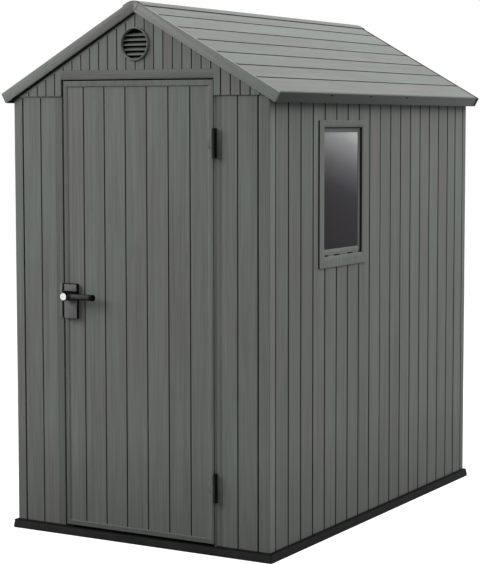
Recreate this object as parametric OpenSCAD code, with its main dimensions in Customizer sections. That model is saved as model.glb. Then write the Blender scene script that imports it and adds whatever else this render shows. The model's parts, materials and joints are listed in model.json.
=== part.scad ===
// Small resin garden shed with a gable roof: width along X, front towards -Y, height along Z.
// The origin is at the centre of the underside of the base.

/* [Walls] */
// Width over the front wall
wall_w = 1160; // [1060:10:1300]
// Depth over the side walls
wall_d = 1770; // [1600:10:2100]
// How far a side wall's top lies below the head of the door
wall_drop = 49; // [30:1:70]
// Thickness of every wall panel
wall_t = 18; // [14:1:24]
// Width of a corner post, as seen on the front and the back
post_w = 45; // [36:1:60]
// Width of the front corner post beside the hinges
post_hinge_w = 50; // [40:1:70]
// Width of a corner post, as seen on a side
post_side_w = 41; // [34:1:60]
// Distance from the front wall's face to the joint of a side wall's two panels
side_joint = 898; // [780:2:1010]
// Drop of the seam under the gables below the side wall's top
seam_drop = 8; // [3:1:20]
// How far the gables and the header stand out from the walls below
gable_proud = 6; // [2:1:10]

/* [Base] */
// Height of the base, floor included
base_h = 31; // [26:1:45]
// How far the foot of the base reaches beyond the walls
base_out = 16; // [10:1:26]
// How far the sloping edge of the base leans in
base_lean = 4; // [3:1:9]

/* [Roof] */
// Pitch of the roof in degrees
pitch = 29.1; // [24:0.1:33]
// Thickness of a roof panel
roof_t = 25; // [18:1:32]
// Overhang of the eaves beyond the side walls
eave_over = 48; // [36:1:70]
// Gap between the front gable and its verge boards
front_gap = 1; // [0.5:0.5:20]
// Gap between the back gable and its verge boards
back_gap = 17; // [1:1:50]
// Depth of the verge boards, square to the slope
verge_h = 41; // [36:1:50]
// Thickness of the verge boards
verge_t = 9; // [6:1:16]
// Depth of the eave fascias, square to the slope
fascia_h = 42; // [36:1:50]
// Thickness of the eave fascias
fascia_t = 9; // [6:1:14]
// Width of each flank of the ridge cap
cap_w = 54; // [32:1:60]
// Thickness of the ridge cap
cap_t = 3; // [2:0.5:8]
// Share of each flank of the ridge cap that the rounding of the ridge takes up
crest_share = 0.64; // [0.5:0.02:0.95]
// Fitting clearance where a piece meets a sloping face of the roof
seat_gap = 0.1; // [0.05:0.05:0.3]

/* [Door] */
// Width of the door leaf
door_w = 673; // [600:1:740]
// Height of the door leaf
door_h = 1727; // [1600:1:1740]
// Thickness of the door leaf behind its raised rim
door_t = 24; // [20:1:28]
// Height of the raised rim over the boards
rim_rise = 4; // [2:1:6]
// Width of the raised rim at the sides and the foot
rim_w = 20; // [16:1:36]
// Width of the raised rim at the top
rim_top = 27; // [18:1:40]
// How far the rim's face stands out from the wall
door_proud = 8; // [6:1:12]
// Gap beside the leaf's hinged edge
side_gap = 6; // [5:0.5:9]
// Gap beside the leaf's free edge
lock_gap = 13; // [6:0.5:15]
// Gap under the leaf
foot_gap = 11; // [5:0.5:14]
// Gap over the leaf
head_gap = 5.5; // [5:0.5:12]
// Height of the header over the door
header_h = 34.5; // [24:0.5:44]
// Height of the undercut along the header's lower edge
header_step = 4; // [4:1:14]
// Depth of that undercut
header_cut = 1; // [1:0.5:5]
// Width of the hinge-side jamb
jamb_w = 30; // [26:1:44]
// How far the hinge-side jamb lies behind the wall's face
jamb_back = 3; // [1:0.5:6]
// How far the stops lap behind the leaf
stop_lap = 18; // [12:1:30]
// Thickness of the stops
stop_t = 12; // [8:1:18]
// Gap between the leaf and its stops
stop_gap = 5.5; // [5:0.5:8]

/* [Hinges] */
// Length of a hinge
hinge_h = 110; // [90:2:130]
// Distance from the leaf's foot to the middle of the lower hinge
hinge_low = 212; // [160:2:300]
// Distance from the leaf's head to the middle of the upper hinge
hinge_high = 232; // [160:2:300]
// Outer radius of the knuckles
knuckle_r = 8; // [6:0.5:9]
// Radius of the pin
pin_r = 3; // [2:0.25:4]
// Clearance round the pin
pin_fit = 0.4; // [0.3:0.1:0.6]
// Gap between knuckles
knuckle_gap = 0.6; // [0.4:0.1:1]
// Width of a hinge's plate on the jamb
hinge_plate_w = 28; // [20:1:30]
// Thickness of a hinge's plates and webs
hinge_leaf_t = 3; // [2:0.5:4]

/* [Handle] */
// Height of the lever's centre above the leaf's foot
lever_z = 900; // [800:2:1000]
// Distance from the leaf's free edge to the lever's centre
lever_in = 24; // [22:1:50]
// Reach of the lock plate from the lever's centre towards the leaf's free edge
plate_out = 22; // [17:1:24]
// Width of the lock plate
plate_w = 61; // [46:1:70]
// Height of the lock plate above the lever's centre
plate_up = 48; // [36:1:60]
// Height of the lock plate below the lever's centre
plate_down = 86; // [60:1:120]
// Thickness of the lock plate
plate_t = 14; // [8:1:18]
// Width of the keeper on the wall beside the lock plate
keeper_w = 11; // [8:1:20]
// Thickness of the keeper
keeper_t = 9; // [5:1:14]
// Radius of the collar behind the lever
collar_r = 20; // [17:0.5:22]
// Height of the collar over the plate
collar_t = 5; // [3:1:8]
// Radius of the lever's arm
arm_r = 11.5; // [8:0.5:13]
// Radius of the lever's hub
hub_r = 16; // [14:0.5:18]
// Reach of the lever from its centre to its tip
lever_len = 136; // [100:1:150]
// Radius of the flared tip
tip_r = 12.5; // [11:0.5:14]
// Length of the flared tip
tip_len = 14; // [8:1:20]
// Radius of the lock cylinder's face
lock_r = 14; // [10:0.5:15]
// How far the lock cylinder stands out from the hub
lock_out = 4; // [2:0.5:6]
// Running gap between the lever and the collar
lever_gap = 0.5; // [0.4:0.1:1]

/* [Vents] */
// Distance from the gable's peak under the roof down to a vent's centre
vent_drop = 138; // [110:2:150]
// Radius of a vent's clear hole
vent_r = 56; // [40:1:60]
// Width of a vent's ring
ring_w = 8; // [8:1:16]
// How far the ring stands out from the gable
ring_out = 8; // [4:1:10]
// Number of slats
slat_count = 6; // [4:1:8]
// Thickness of a slat
slat_t = 4; // [3:0.5:5]
// Tilt of a slat in degrees
slat_tilt = 35; // [20:1:45]

/* [Window] */
// Width of the window frame
win_w = 392; // [300:4:440]
// Height of the window frame
win_h = 567; // [450:3:650]
// How far the head of the window frame lies below the side wall's top
win_under = 98; // [70:2:180]
// Distance from the front wall's face to the window's middle
win_y = 567; // [500:3:600]
// Width of the frame's face at the sides
win_side = 37; // [30:1:50]
// Width of the frame's face at the top
win_top = 27; // [22:1:40]
// Width of the frame's face at the sill
win_sill = 43; // [34:1:60]
// How far the frame stands out from the wall
win_proud = 5; // [3:1:10]
// Width of the frame's face that laps over the wall
win_lap = 12; // [8:1:18]
// Depth of the pocket in front of the glazing bead
pocket_d = 10; // [6:1:12]
// Thickness of the glazing bead
bead_t = 3; // [2:0.5:4]
// Width of the glazing bead at the sides
bead_side = 16; // [10:1:24]
// Width of the glazing bead at the top
bead_top = 19; // [12:1:26]
// Width of the glazing bead at the sill
bead_sill = 26; // [16:1:34]
// How far the glass reaches behind the bead
rebate = 8; // [5:1:9]
// Thickness of the glass
glass_t = 3; // [2:0.5:4]

/* [Hidden] */

half_w = wall_w / 2;
half_d = wall_d / 2;
resin = "#6b6f6c";
trim = "#4a4d4c";
ironwork = "#202122";

// Door opening; the side walls and the seam follow the door's head
door_z = base_h + foot_gap;
door_top = door_z + door_h;
wall_h = door_top - wall_drop;
seam_z = wall_h - seam_drop;
open_x = (lock_gap + door_w + side_gap) / 2;
leaf_x0 = lock_gap - open_x;
leaf_x1 = open_x - side_gap;
header_z = door_top + head_gap;
header_top = header_z + header_h;
rim_face = -half_d - door_proud;
board_face = rim_face + rim_rise;
leaf_back = board_face + door_t;
stop_x = leaf_x1 - stop_lap;
stop_y = leaf_back + stop_gap;

// Roof, measured along the slope (s) and square to it (n)
apex_under = wall_h + half_w * tan(pitch);
apex = apex_under + roof_t / cos(pitch);
slope_len = (half_w + eave_over) / cos(pitch);
function on_slope(s, n) = [s * cos(pitch) + n * sin(pitch), apex - s * sin(pitch) + n * cos(pitch)];
// Half of the rounded ridge, n above the slope, from the middle to the flank
crest_r = crest_share * cap_w / tan(pitch);
function crest(n) = [for (i = [0 : 5]) let (a = pitch * i / 5)
    [(crest_r + n) * sin(a), apex - crest_r / cos(pitch) + (crest_r + n) * cos(a)]];
roof_y0 = -half_d - gable_proud - front_gap;
roof_y1 = half_d + gable_proud + back_gap;
wall_top = wall_h - seat_gap;
vent_z = apex_under - vent_drop;

// Hinge axis, clear of the leaf and of the wall beside it
hinge_x = leaf_x1 + side_gap / 2;
hinge_y = rim_face - knuckle_r - knuckle_gap;
jamb_face = jamb_back - half_d;
hinge_zs = [door_z + hinge_low, door_top - hinge_high];

// Lever's axis
lever_x = leaf_x0 + lever_in;
lever_h = door_z + lever_z;
plate_face = rim_face - plate_t;
hub_back = plate_face - collar_t - lever_gap;
hub_face = hub_back - 2 * arm_r;

// Joint of the side panels, and the window on the wall at +X
joint_y = side_joint - half_d;
win_mid = -half_d + win_y;
win_z = wall_h - win_under - win_h;
bead_x = half_w + win_proud - pocket_d;
glass_x = bead_x - bead_t;

// An outline in X and Z, run from y0 to y1
module along_y(y0, y1) {
    translate([0, y1, 0])
        rotate([90, 0, 0])
            linear_extrude(y1 - y0)
                children();
}

// A block between two corners
module block(low, high) {
    translate(low)
        cube(high - low);
}

// The whole space under the roof panels, above height z
module under_roof(z) {
    peak = apex_under - seat_gap;
    drop = (peak - z) / tan(pitch);
    polygon([[-drop, z], [drop, z], [0, peak]]);
}

module mirrored(side) {
    if (side < 0)
        mirror([1, 0, 0]) children();
    else
        children();
}

module turned_back(back) {
    if (back)
        mirror([0, 1, 0]) children();
    else
        children();
}

// Base with the floor, its edge leaning in towards the top
module base_floor() {
    foot_x = half_w + base_out;
    foot_y = half_d + base_out;
    color(ironwork)
        intersection() {
            along_y(-foot_y, foot_y)
                polygon([[-foot_x, 0], [foot_x, 0], [foot_x - base_lean, base_h],
                         [base_lean - foot_x, base_h]]);
            rotate([0, 0, 90])
                along_y(-foot_x, foot_x)
                    polygon([[-foot_y, 0], [foot_y, 0], [foot_y - base_lean, base_h],
                             [base_lean - foot_y, base_h]]);
        }
}

// Angle post: one leg on the end wall up to the seam, one on the side wall up to the roof
module corner_post(side, back, width) {
    color(resin)
        mirrored(side)
            turned_back(back) {
                block([half_w - width, -half_d, base_h], [half_w, wall_t - half_d, seam_z]);
                along_y(wall_t - half_d, post_side_w - half_d)
                    side_outline();
            }
}

// Section of a side wall, its top cut to the roof's slope
module side_outline() {
    inner = half_w - wall_t;
    polygon([[inner, base_h], [half_w, base_h], [half_w, wall_top],
             [inner, wall_top + wall_t * tan(pitch)]]);
}

module front_panel(x0, x1) {
    color(resin)
        block([x0, -half_d, base_h], [x1, wall_t - half_d, seam_z]);
}

module hinge_jamb() {
    color(resin)
        block([open_x, jamb_face, base_h], [open_x + jamb_w, wall_t - half_d, seam_z]);
}

// Stops that the leaf closes towards, standing behind it on the opening's edge
module stop_side(side) {
    color(resin)
        mirrored(side) {
            block([stop_x, stop_y, base_h], [open_x + wall_t, stop_y + stop_t, header_top]);
            block([open_x, wall_t - half_d, base_h], [open_x + wall_t, stop_y, header_top]);
        }
}

module stop_head() {
    color(resin) {
        block([-stop_x, stop_y, door_top - stop_lap], [stop_x, stop_y + stop_t, header_top]);
        block([-stop_x, wall_t - half_d, header_z], [stop_x, stop_y, header_top]);
    }
}

module door_header() {
    face = -half_d - gable_proud;
    color(resin)
        difference() {
            block([-open_x, face, header_z], [open_x, wall_t - half_d, header_top]);
            block([-open_x, face, header_z], [open_x, face + header_cut, header_z + header_step]);
        }
}

// Round hole for a vent through either gable
module vent_hole() {
    translate([0, 0, vent_z])
        rotate([90, 0, 0])
            cylinder(r = vent_r + slat_t, h = 3 * wall_d, center = true, $fn = 96);
}

module gable_front() {
    color(resin)
        difference() {
            along_y(-half_d - gable_proud, wall_t - half_d)
                intersection() {
                    under_roof(header_top);
                    translate([-open_x, header_top])
                        square([2 * open_x, apex]);
                }
            vent_hole();
        }
}

// Shoulders of the front gable, on both sides of the door's head
module gable_shoulder(side) {
    color(resin)
        mirrored(side)
            along_y(-half_d - gable_proud, wall_t - half_d)
                intersection() {
                    under_roof(0);
                    translate([open_x, seam_z])
                        square([half_w - open_x, apex]);
                }
}

module gable_back() {
    color(resin)
        difference() {
            along_y(half_d - wall_t, half_d + gable_proud)
                intersection() {
                    under_roof(0);
                    translate([-half_w, seam_z])
                        square([wall_w, apex]);
                }
            vent_hole();
        }
}

// Half of a side wall, from y0 to y1
module side_panel(side, y0, y1) {
    color(resin)
        mirrored(side)
            along_y(y0, y1)
                side_outline();
}

module side_right_front() {
    difference() {
        side_panel(1, post_side_w - half_d, joint_y);
        window_hole();
    }
}

module window_hole() {
    window_block(half_w - 2 * wall_t, half_w + wall_t, win_lap, win_lap, win_lap);
}

// A block from x0 to x1 inside the window's outline, set in at the sides, the top and the foot
module window_block(x0, x1, side, top, foot) {
    block([x0, win_mid - win_w / 2 + side, win_z + foot],
          [x1, win_mid + win_w / 2 - side, win_z + win_h - top]);
}

module back_panel(x0, x1) {
    color(resin)
        block([x0, half_d - wall_t, base_h], [x1, half_d, seam_z]);
}

module roof_panel(side) {
    color(resin)
        mirrored(side)
            along_y(roof_y0, roof_y1)
                polygon(concat(crest(0), [on_slope(slope_len - fascia_t - seat_gap, 0),
                                          on_slope(slope_len - fascia_t - seat_gap, -roof_t),
                                          [0, apex_under]]));
}

module ridge_cap() {
    under = concat(crest(seat_gap), [on_slope(cap_w, seat_gap)]);
    over = concat(crest(seat_gap + cap_t), [on_slope(cap_w, seat_gap + cap_t)]);
    last = len(over) - 1;
    color(resin)
        along_y(roof_y0 - verge_t, roof_y1 + verge_t)
            polygon(concat(under, [for (i = [last : -1 : 0]) over[i]],
                           [for (i = [1 : last]) [-over[i][0], over[i][1]]],
                           [for (i = [last : -1 : 1]) [-under[i][0], under[i][1]]]));
}

module verge(side, back) {
    y0 = back ? roof_y1 : roof_y0 - verge_t;
    color(resin)
        mirrored(side)
            along_y(y0, y0 + verge_t)
                polygon(concat(crest(0), [on_slope(slope_len, 0), on_slope(slope_len, -verge_h),
                                          [0, apex - verge_h / cos(pitch)]]));
}

module fascia(side) {
    color(trim)
        mirrored(side)
            along_y(roof_y0, roof_y1)
                polygon([on_slope(slope_len - fascia_t, 0), on_slope(slope_len, 0),
                         on_slope(slope_len, -fascia_h), on_slope(slope_len - fascia_t, -fascia_h)]);
}

// Ring with a sleeve through the gable, and tilted slats across it
module vent(back) {
    face = half_d + gable_proud;
    depth = gable_proud + wall_t;
    pitch_z = 2 * vent_r / slat_count;
    slat_run = depth * 0.8;
    color(resin)
        turned_back(back)
            translate([0, -face, vent_z]) {
                rotate([90, 0, 0])
                    difference() {
                        union() {
                            cylinder(r = vent_r + ring_w, h = ring_out, $fn = 96);
                            translate([0, 0, -depth])
                                cylinder(r = vent_r + slat_t, h = depth, $fn = 96);
                        }
                        translate([0, 0, -2 * depth])
                            cylinder(r = vent_r, h = 4 * depth, $fn = 96);
                    }
                intersection() {
                    for (i = [0 : slat_count - 1])
                        translate([0, depth / 2, -vent_r + pitch_z * (i + 0.5)])
                            rotate([slat_tilt, 0, 0])
                                cube([2 * vent_r + slat_t, slat_run, slat_t], center = true);
                    rotate([-90, 0, 0])
                        cylinder(r = vent_r + slat_t / 4, h = depth, $fn = 96);
                }
            }
}

// Face over the wall's cut edge, a sleeve through the wall, a pocket and a bead before the glass
module window_frame() {
    side = win_side + bead_side;
    top = win_top + bead_top;
    foot = win_sill + bead_sill;
    color(resin)
        difference() {
            union() {
                window_block(half_w, half_w + win_proud, 0, 0, 0);
                window_block(half_w - wall_t, half_w, win_lap, win_lap, win_lap);
            }
            window_block(bead_x, half_w + 2 * win_proud, win_side, win_top, win_sill);
            window_block(glass_x, half_w + win_proud, side, top, foot);
            window_block(half_w - 2 * wall_t, glass_x, side - rebate, top - rebate, foot - rebate);
        }
}

module window_glass() {
    color("dimgray")
        window_block(glass_x - glass_t, glass_x, win_side + bead_side - rebate,
                     win_top + bead_top - rebate, win_sill + bead_sill - rebate);
}

module door_leaf() {
    color(resin)
        block([leaf_x0, board_face, door_z], [leaf_x1, leaf_back, door_top]);
}

// Raised rim round the boards of the leaf
module door_rim() {
    color(resin)
        difference() {
            block([leaf_x0, rim_face, door_z], [leaf_x1, board_face, door_top]);
            block([leaf_x0 + rim_w, rim_face - rim_rise, door_z + rim_w],
                  [leaf_x1 - rim_w, board_face + rim_rise, door_top - rim_top]);
        }
}

// One knuckle of a hinge, with or without its bore
module knuckle(z0, z1, bored) {
    translate([hinge_x, hinge_y, z0])
        difference() {
            cylinder(r = knuckle_r, h = z1 - z0, $fn = 48);
            if (bored)
                translate([0, 0, -1])
                    cylinder(r = pin_r + pin_fit, h = z1 - z0 + 2, $fn = 48);
        }
}

// Fixed half: a plate on the jamb, webs out to the two end knuckles, and the pin
module hinge_jamb_half(z) {
    third = hinge_h / 3;
    low = z - hinge_h / 2;
    high = z + hinge_h / 2;
    web_x = open_x + hinge_leaf_t;
    color(ironwork) {
        block([open_x, jamb_face - hinge_leaf_t, low], [open_x + hinge_plate_w, jamb_face, high]);
        for (z0 = [low, high - third]) {
            block([open_x, hinge_y, z0], [web_x, jamb_face, z0 + third]);
            knuckle(z0, z0 + third, false);
        }
        translate([hinge_x, hinge_y, low])
            cylinder(r = pin_r, h = hinge_h, $fn = 48);
    }
}

// Moving half: a plate on the rim and the middle knuckle, bored for the pin
module hinge_door_half(z) {
    third = hinge_h / 3;
    low = z - hinge_h / 2 + third + knuckle_gap;
    high = z + hinge_h / 2 - third - knuckle_gap;
    color(ironwork) {
        difference() {
            block([leaf_x1 - rim_w, rim_face - hinge_leaf_t, low], [hinge_x, rim_face, high]);
            translate([hinge_x, hinge_y, low - 1])
                cylinder(r = knuckle_r - 1, h = high - low + 2, $fn = 48);
        }
        knuckle(low, high, true);
    }
}

// Plate on the leaf's free edge, with the round collar that carries the lever
module lock_plate() {
    edge = lever_x - plate_out;
    color(trim) {
        block([edge, plate_face, lever_h - plate_down],
              [edge + plate_w, rim_face, lever_h + plate_up]);
        block([leaf_x0 + rim_w, rim_face, lever_h - plate_down],
              [edge + plate_w, board_face, lever_h + plate_up]);
        translate([lever_x, plate_face, lever_h])
            rotate([90, 0, 0])
                cylinder(r = collar_r, h = collar_t, $fn = 64);
    }
}

// Keeper on the front wall, level with the lock plate
module lock_keeper() {
    color(trim)
        block([-open_x - keeper_w, -half_d - keeper_t, lever_h - plate_down],
              [-open_x, -half_d, lever_h + plate_up]);
}

module door_lever() {
    color(ironwork)
        translate([lever_x, hub_back, lever_h])
            difference() {
                union() {
                    rotate([90, 0, 0])
                        cylinder(r = hub_r, h = hub_back - hub_face, $fn = 64);
                    translate([0, -arm_r, 0])
                        rotate([0, 90, 0])
                            cylinder(r = arm_r, h = lever_len - tip_len, $fn = 48);
                    translate([lever_len - tip_len, -arm_r, 0])
                        rotate([0, 90, 0])
                            cylinder(r = tip_r, h = tip_len, $fn = 48);
                }
                translate([0, hub_face - hub_back, 0])
                    rotate([90, 0, 0])
                        cylinder(r = lock_r, h = 2 * arm_r, center = true, $fn = 64);
            }
}

// Lock cylinder in the middle of the lever's hub
module lock_cylinder() {
    color("silver")
        translate([lever_x, hub_face + arm_r, lever_h])
            rotate([90, 0, 0])
                cylinder(r = lock_r, h = arm_r + lock_out, $fn = 64);
}

base_floor();
corner_post(-1, false, post_w);  // post_front_left
corner_post(1, false, post_hinge_w);  // post_front_right
corner_post(-1, true, post_w);  // post_back_left
corner_post(1, true, post_w);  // post_back_right
front_panel(post_w - half_w, -open_x);  // front_panel_left
front_panel(open_x + jamb_w, half_w - post_hinge_w);  // front_panel_right
hinge_jamb();
stop_side(-1);  // stop_left
stop_side(1);  // stop_right
stop_head();
door_header();
gable_front();
gable_shoulder(-1);  // gable_front_left
gable_shoulder(1);  // gable_front_right
side_panel(-1, post_side_w - half_d, joint_y);  // side_left_front
side_panel(-1, joint_y, half_d - post_side_w);  // side_left_back
side_right_front();
side_panel(1, joint_y, half_d - post_side_w);  // side_right_back
back_panel(post_w - half_w, 0);  // back_panel_left
back_panel(0, half_w - post_w);  // back_panel_right
gable_back();
roof_panel(-1);  // roof_left
roof_panel(1);  // roof_right
ridge_cap();
verge(-1, false);  // verge_front_left
verge(1, false);  // verge_front_right
verge(-1, true);  // verge_back_left
verge(1, true);  // verge_back_right
fascia(-1);  // fascia_left
fascia(1);  // fascia_right
vent(false);  // vent_front
vent(true);  // vent_back
window_frame();
window_glass();
door_leaf();
door_rim();
hinge_jamb_half(hinge_zs[1]);  // hinge_top_jamb
hinge_jamb_half(hinge_zs[0]);  // hinge_low_jamb
hinge_door_half(hinge_zs[1]);  // hinge_top_door
hinge_door_half(hinge_zs[0]);  // hinge_low_door
lock_keeper();
lock_plate();
door_lever();
lock_cylinder();
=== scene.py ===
import json
import math
import random

import bmesh
import bpy
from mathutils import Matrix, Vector


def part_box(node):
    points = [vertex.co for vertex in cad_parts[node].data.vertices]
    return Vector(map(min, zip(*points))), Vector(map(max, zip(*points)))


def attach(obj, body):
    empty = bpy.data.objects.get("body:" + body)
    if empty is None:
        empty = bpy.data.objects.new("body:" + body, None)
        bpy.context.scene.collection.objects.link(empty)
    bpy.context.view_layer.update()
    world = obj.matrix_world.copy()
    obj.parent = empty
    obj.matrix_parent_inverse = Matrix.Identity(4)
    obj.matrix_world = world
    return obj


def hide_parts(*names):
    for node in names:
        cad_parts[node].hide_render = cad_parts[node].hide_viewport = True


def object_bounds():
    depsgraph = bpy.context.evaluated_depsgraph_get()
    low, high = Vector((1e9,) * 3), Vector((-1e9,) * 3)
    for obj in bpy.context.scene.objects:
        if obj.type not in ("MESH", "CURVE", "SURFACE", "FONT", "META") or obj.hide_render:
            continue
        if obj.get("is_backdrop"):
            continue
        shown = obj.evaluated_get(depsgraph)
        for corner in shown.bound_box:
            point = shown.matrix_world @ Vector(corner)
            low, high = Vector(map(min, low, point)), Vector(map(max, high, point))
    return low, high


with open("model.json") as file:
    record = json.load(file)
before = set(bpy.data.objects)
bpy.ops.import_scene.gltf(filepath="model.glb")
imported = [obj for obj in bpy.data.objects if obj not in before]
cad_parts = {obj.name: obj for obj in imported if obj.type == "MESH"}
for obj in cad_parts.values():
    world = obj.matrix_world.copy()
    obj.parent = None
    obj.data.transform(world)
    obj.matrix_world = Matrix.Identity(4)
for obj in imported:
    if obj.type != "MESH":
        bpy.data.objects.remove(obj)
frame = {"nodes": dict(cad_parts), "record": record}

scene = bpy.context.scene
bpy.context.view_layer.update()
print("frame loaded:", len(frame["nodes"]), "solids")

# Colours, grain and wear of the boarded resin
resinLook = {
    "wall": (0.150, 0.160, 0.150),
    "roof": (0.1345, 0.1430, 0.1352),
    "verge": (0.172, 0.182, 0.172),
    "fascia": (0.060, 0.064, 0.063),
    "warm": (1.035, 0.985, 1.0),     # how the colour drifts within a board
    "cool": (0.955, 1.012, 0.995),
    "tint": 0.05,          # how far the boards differ from each other
    "streak": 0.20,        # strength of the brushed streaks in the colour
    "streakMix": (0.30, 0.38, 0.32),  # shares of the fine, middle and broad layers
    "rings": 13.0,         # growth rings to a unit of the slow layer
    "vergeMottle": 0.12,
    "grainDepth": 0.00035,
    "roughness": 0.60,
    "gloss": 0.16,
    "grooveShade": 0.10,   # share of light left under full painted shade, as at the bottom of a groove
    "shadedFootTop": 0.42,     # painted shade darkens the walls below this height
    "shadedFootLevel": 0.76,
}
# Detail, roughness and scale (across the grain, along it) of each layer of noise
grainLayers = {
    "fine": (4, 0.65, (620, 7, 1)),
    "middle": (3, 0.6, (190, 3.5, 1)),
    "broad": (2, 0.5, (62, 1.6, 1)),
    "patch": (2, 0.5, (9, 1.6, 1)),
    "slow": (1, 0.4, (17, 0.9, 1)),
    "speck": (3, 0.6, (260, 150, 1)),
}


def startMaterial(name):
    material = bpy.data.materials.new(name)
    material.use_nodes = True
    return material, material.node_tree, material.node_tree.nodes["Principled BSDF"]


def addNode(tree, kind, inputs=None, **settings):
    made = tree.nodes.new("ShaderNode" + kind)
    for key, value in settings.items():
        setattr(made, key, value)
    for key, value in (inputs or {}).items():
        if isinstance(value, bpy.types.NodeSocket):
            tree.links.new(value, made.inputs[key])
        else:
            made.inputs[key].default_value = value
    return made


def mathNode(tree, operation, first, second=0.0):
    return addNode(tree, "Math", {0: first, 1: second}, operation=operation).outputs[0]


def vectorNode(tree, operation, inputs):
    return addNode(tree, "VectorMath", inputs, operation=operation).outputs[0]


def chain(tree, operation, first, *others):
    # Adds or multiplies a row of values
    for value in others:
        first = mathNode(tree, operation, first, value)
    return first


def weighted(tree, *pairs):
    # Sum of (value, weight) pairs
    return chain(tree, "ADD", *[mathNode(tree, "MULTIPLY", value, weight) for value, weight in pairs])


def spread(tree, value, low, high, fromLow=0.0, fromHigh=1.0):
    return addNode(tree, "MapRange", {"Value": value, "From Min": fromLow, "From Max": fromHigh,
                                      "To Min": low, "To Max": high}).outputs["Result"]


def noiseOf(tree, vector, scale, detail, roughness, stretch=(1, 1, 1)):
    moved = addNode(tree, "Mapping", {"Vector": vector, "Scale": stretch}).outputs[0]
    return addNode(tree, "TexNoise", {"Vector": moved, "Scale": scale, "Detail": detail,
                                      "Roughness": roughness}).outputs["Fac"]


def dressShader(tree, shader, colour, roughness, height, strength, depth, gloss=None):
    # Colour, roughness and bump sockets into the shader
    tree.links.new(colour, shader.inputs["Base Color"])
    tree.links.new(roughness, shader.inputs["Roughness"])
    bump = addNode(tree, "Bump", {"Height": height, "Strength": strength, "Distance": depth})
    tree.links.new(bump.outputs[0], shader.inputs["Normal"])
    if gloss is not None:
        shader.inputs["Specular IOR Level"].default_value = gloss


def grainedResin(name, colour, mottle=0.0, shadedFoot=False):
    # Brushed wood grain pressed into resin, running along the second axis of the "grain" map
    material, tree, shader = startMaterial(name)
    grain = addNode(tree, "UVMap", uv_map="grain").outputs[0]
    tone = addNode(tree, "Attribute", attribute_name="boardTone").outputs["Fac"]
    # Painted shade from each face's groove value, and a painted highlight below 0
    groove = addNode(tree, "Attribute", attribute_name="groove").outputs["Fac"]
    shift = addNode(tree, "CombineXYZ", {"Z": mathNode(tree, "MULTIPLY", tone, 37.0)}).outputs[0]
    place = vectorNode(tree, "ADD", {0: grain, 1: shift})
    fine, middle, broad, patch, slow = (noiseOf(tree, place, 1.0, *grainLayers[key])
                                        for key in ("fine", "middle", "broad", "patch", "slow"))
    # Growth rings are contour lines of the slow layer
    rings = mathNode(tree, "FRACT", mathNode(tree, "MULTIPLY", slow, resinLook["rings"]))
    ringLine = spread(tree, mathNode(tree, "PINGPONG", rings, 0.5), 0.0, 1.0, 0.0, 0.22)
    streaks = weighted(tree, *zip((fine, middle, broad), resinLook["streakMix"]))
    streak, tint, shade = resinLook["streak"], resinLook["tint"], resinLook["grooveShade"]
    light = chain(tree, "MULTIPLY", spread(tree, streaks, 1 - streak, 1 + streak, 0.36, 0.64),
                  spread(tree, tone, 1 - tint, 1 + tint), spread(tree, patch, 0.94, 1.06, 0.3, 0.7),
                  spread(tree, ringLine, 0.95, 1.0), spread(tree, groove, 2.0 - shade, shade, -1.0, 1.0))
    if mottle:
        speck = noiseOf(tree, place, 1.0, *grainLayers["speck"])
        light = mathNode(tree, "MULTIPLY", light, spread(tree, speck, 1 - mottle, 1 + mottle, 0.35, 0.65))
    # Painted shade, darker towards the walls' foot
    if shadedFoot:
        spot = addNode(tree, "NewGeometry").outputs["Position"]
        height = addNode(tree, "SeparateXYZ", {0: spot}).outputs["Z"]
        foot = spread(tree, height, resinLook["shadedFootLevel"] ** 0.5, 1.0, 0.03, resinLook["shadedFootTop"])
        light = chain(tree, "MULTIPLY", light, foot, foot)
    warm = addNode(tree, "Mix", {"Factor": spread(tree, patch, 0.0, 1.0, 0.35, 0.65)}, data_type="RGBA")
    for key, drift in (("A", "warm"), ("B", "cool")):
        socket = [s for s in warm.inputs if s.name == key and s.type == "RGBA"][0]
        socket.default_value = (*(c * m for c, m in zip(colour, resinLook[drift])), 1)
    mixed = [s for s in warm.outputs if s.type == "RGBA"][0]
    shaded = vectorNode(tree, "SCALE", {0: mixed, "Scale": light})
    rough = spread(tree, streaks, resinLook["roughness"] - 0.07, resinLook["roughness"] + 0.08, 0.3, 0.7)
    dressShader(tree, shader, shaded, rough, weighted(tree, (fine, 0.6), (middle, 0.6), (ringLine, 0.35)),
                0.8, resinLook["grainDepth"], resinLook["gloss"])
    return material


def mouldedFinish(name, colour, roughness, gloss, depth=0.00012, fineness=900.0, wear=0.12):
    # Fine spark-eroded texture with slow colour changes and a few paler rubbed spots
    material, tree, shader = startMaterial(name)
    place = addNode(tree, "TexCoord").outputs["Object"]
    speckle = noiseOf(tree, place, fineness, 2, 0.5)
    cloud = noiseOf(tree, place, 14.0, 4, 0.6)
    rub = spread(tree, noiseOf(tree, place, 60.0, 5, 0.7), 0.0, 1.0, 0.62, 0.8)
    light = mathNode(tree, "MULTIPLY", spread(tree, cloud, 1 - wear, 1 + wear, 0.3, 0.7),
                     spread(tree, speckle, 0.94, 1.06, 0.3, 0.7))
    light = mathNode(tree, "ADD", light, mathNode(tree, "MULTIPLY", rub, wear * 0.8))
    base = addNode(tree, "RGB")
    base.outputs[0].default_value = (*colour, 1)
    shaded = vectorNode(tree, "SCALE", {0: base.outputs[0], "Scale": light})
    rough = spread(tree, cloud, roughness - 0.06, roughness + 0.08, 0.3, 0.7)
    dressShader(tree, shader, shaded, rough, speckle, 0.7, depth, gloss)
    return material


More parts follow.
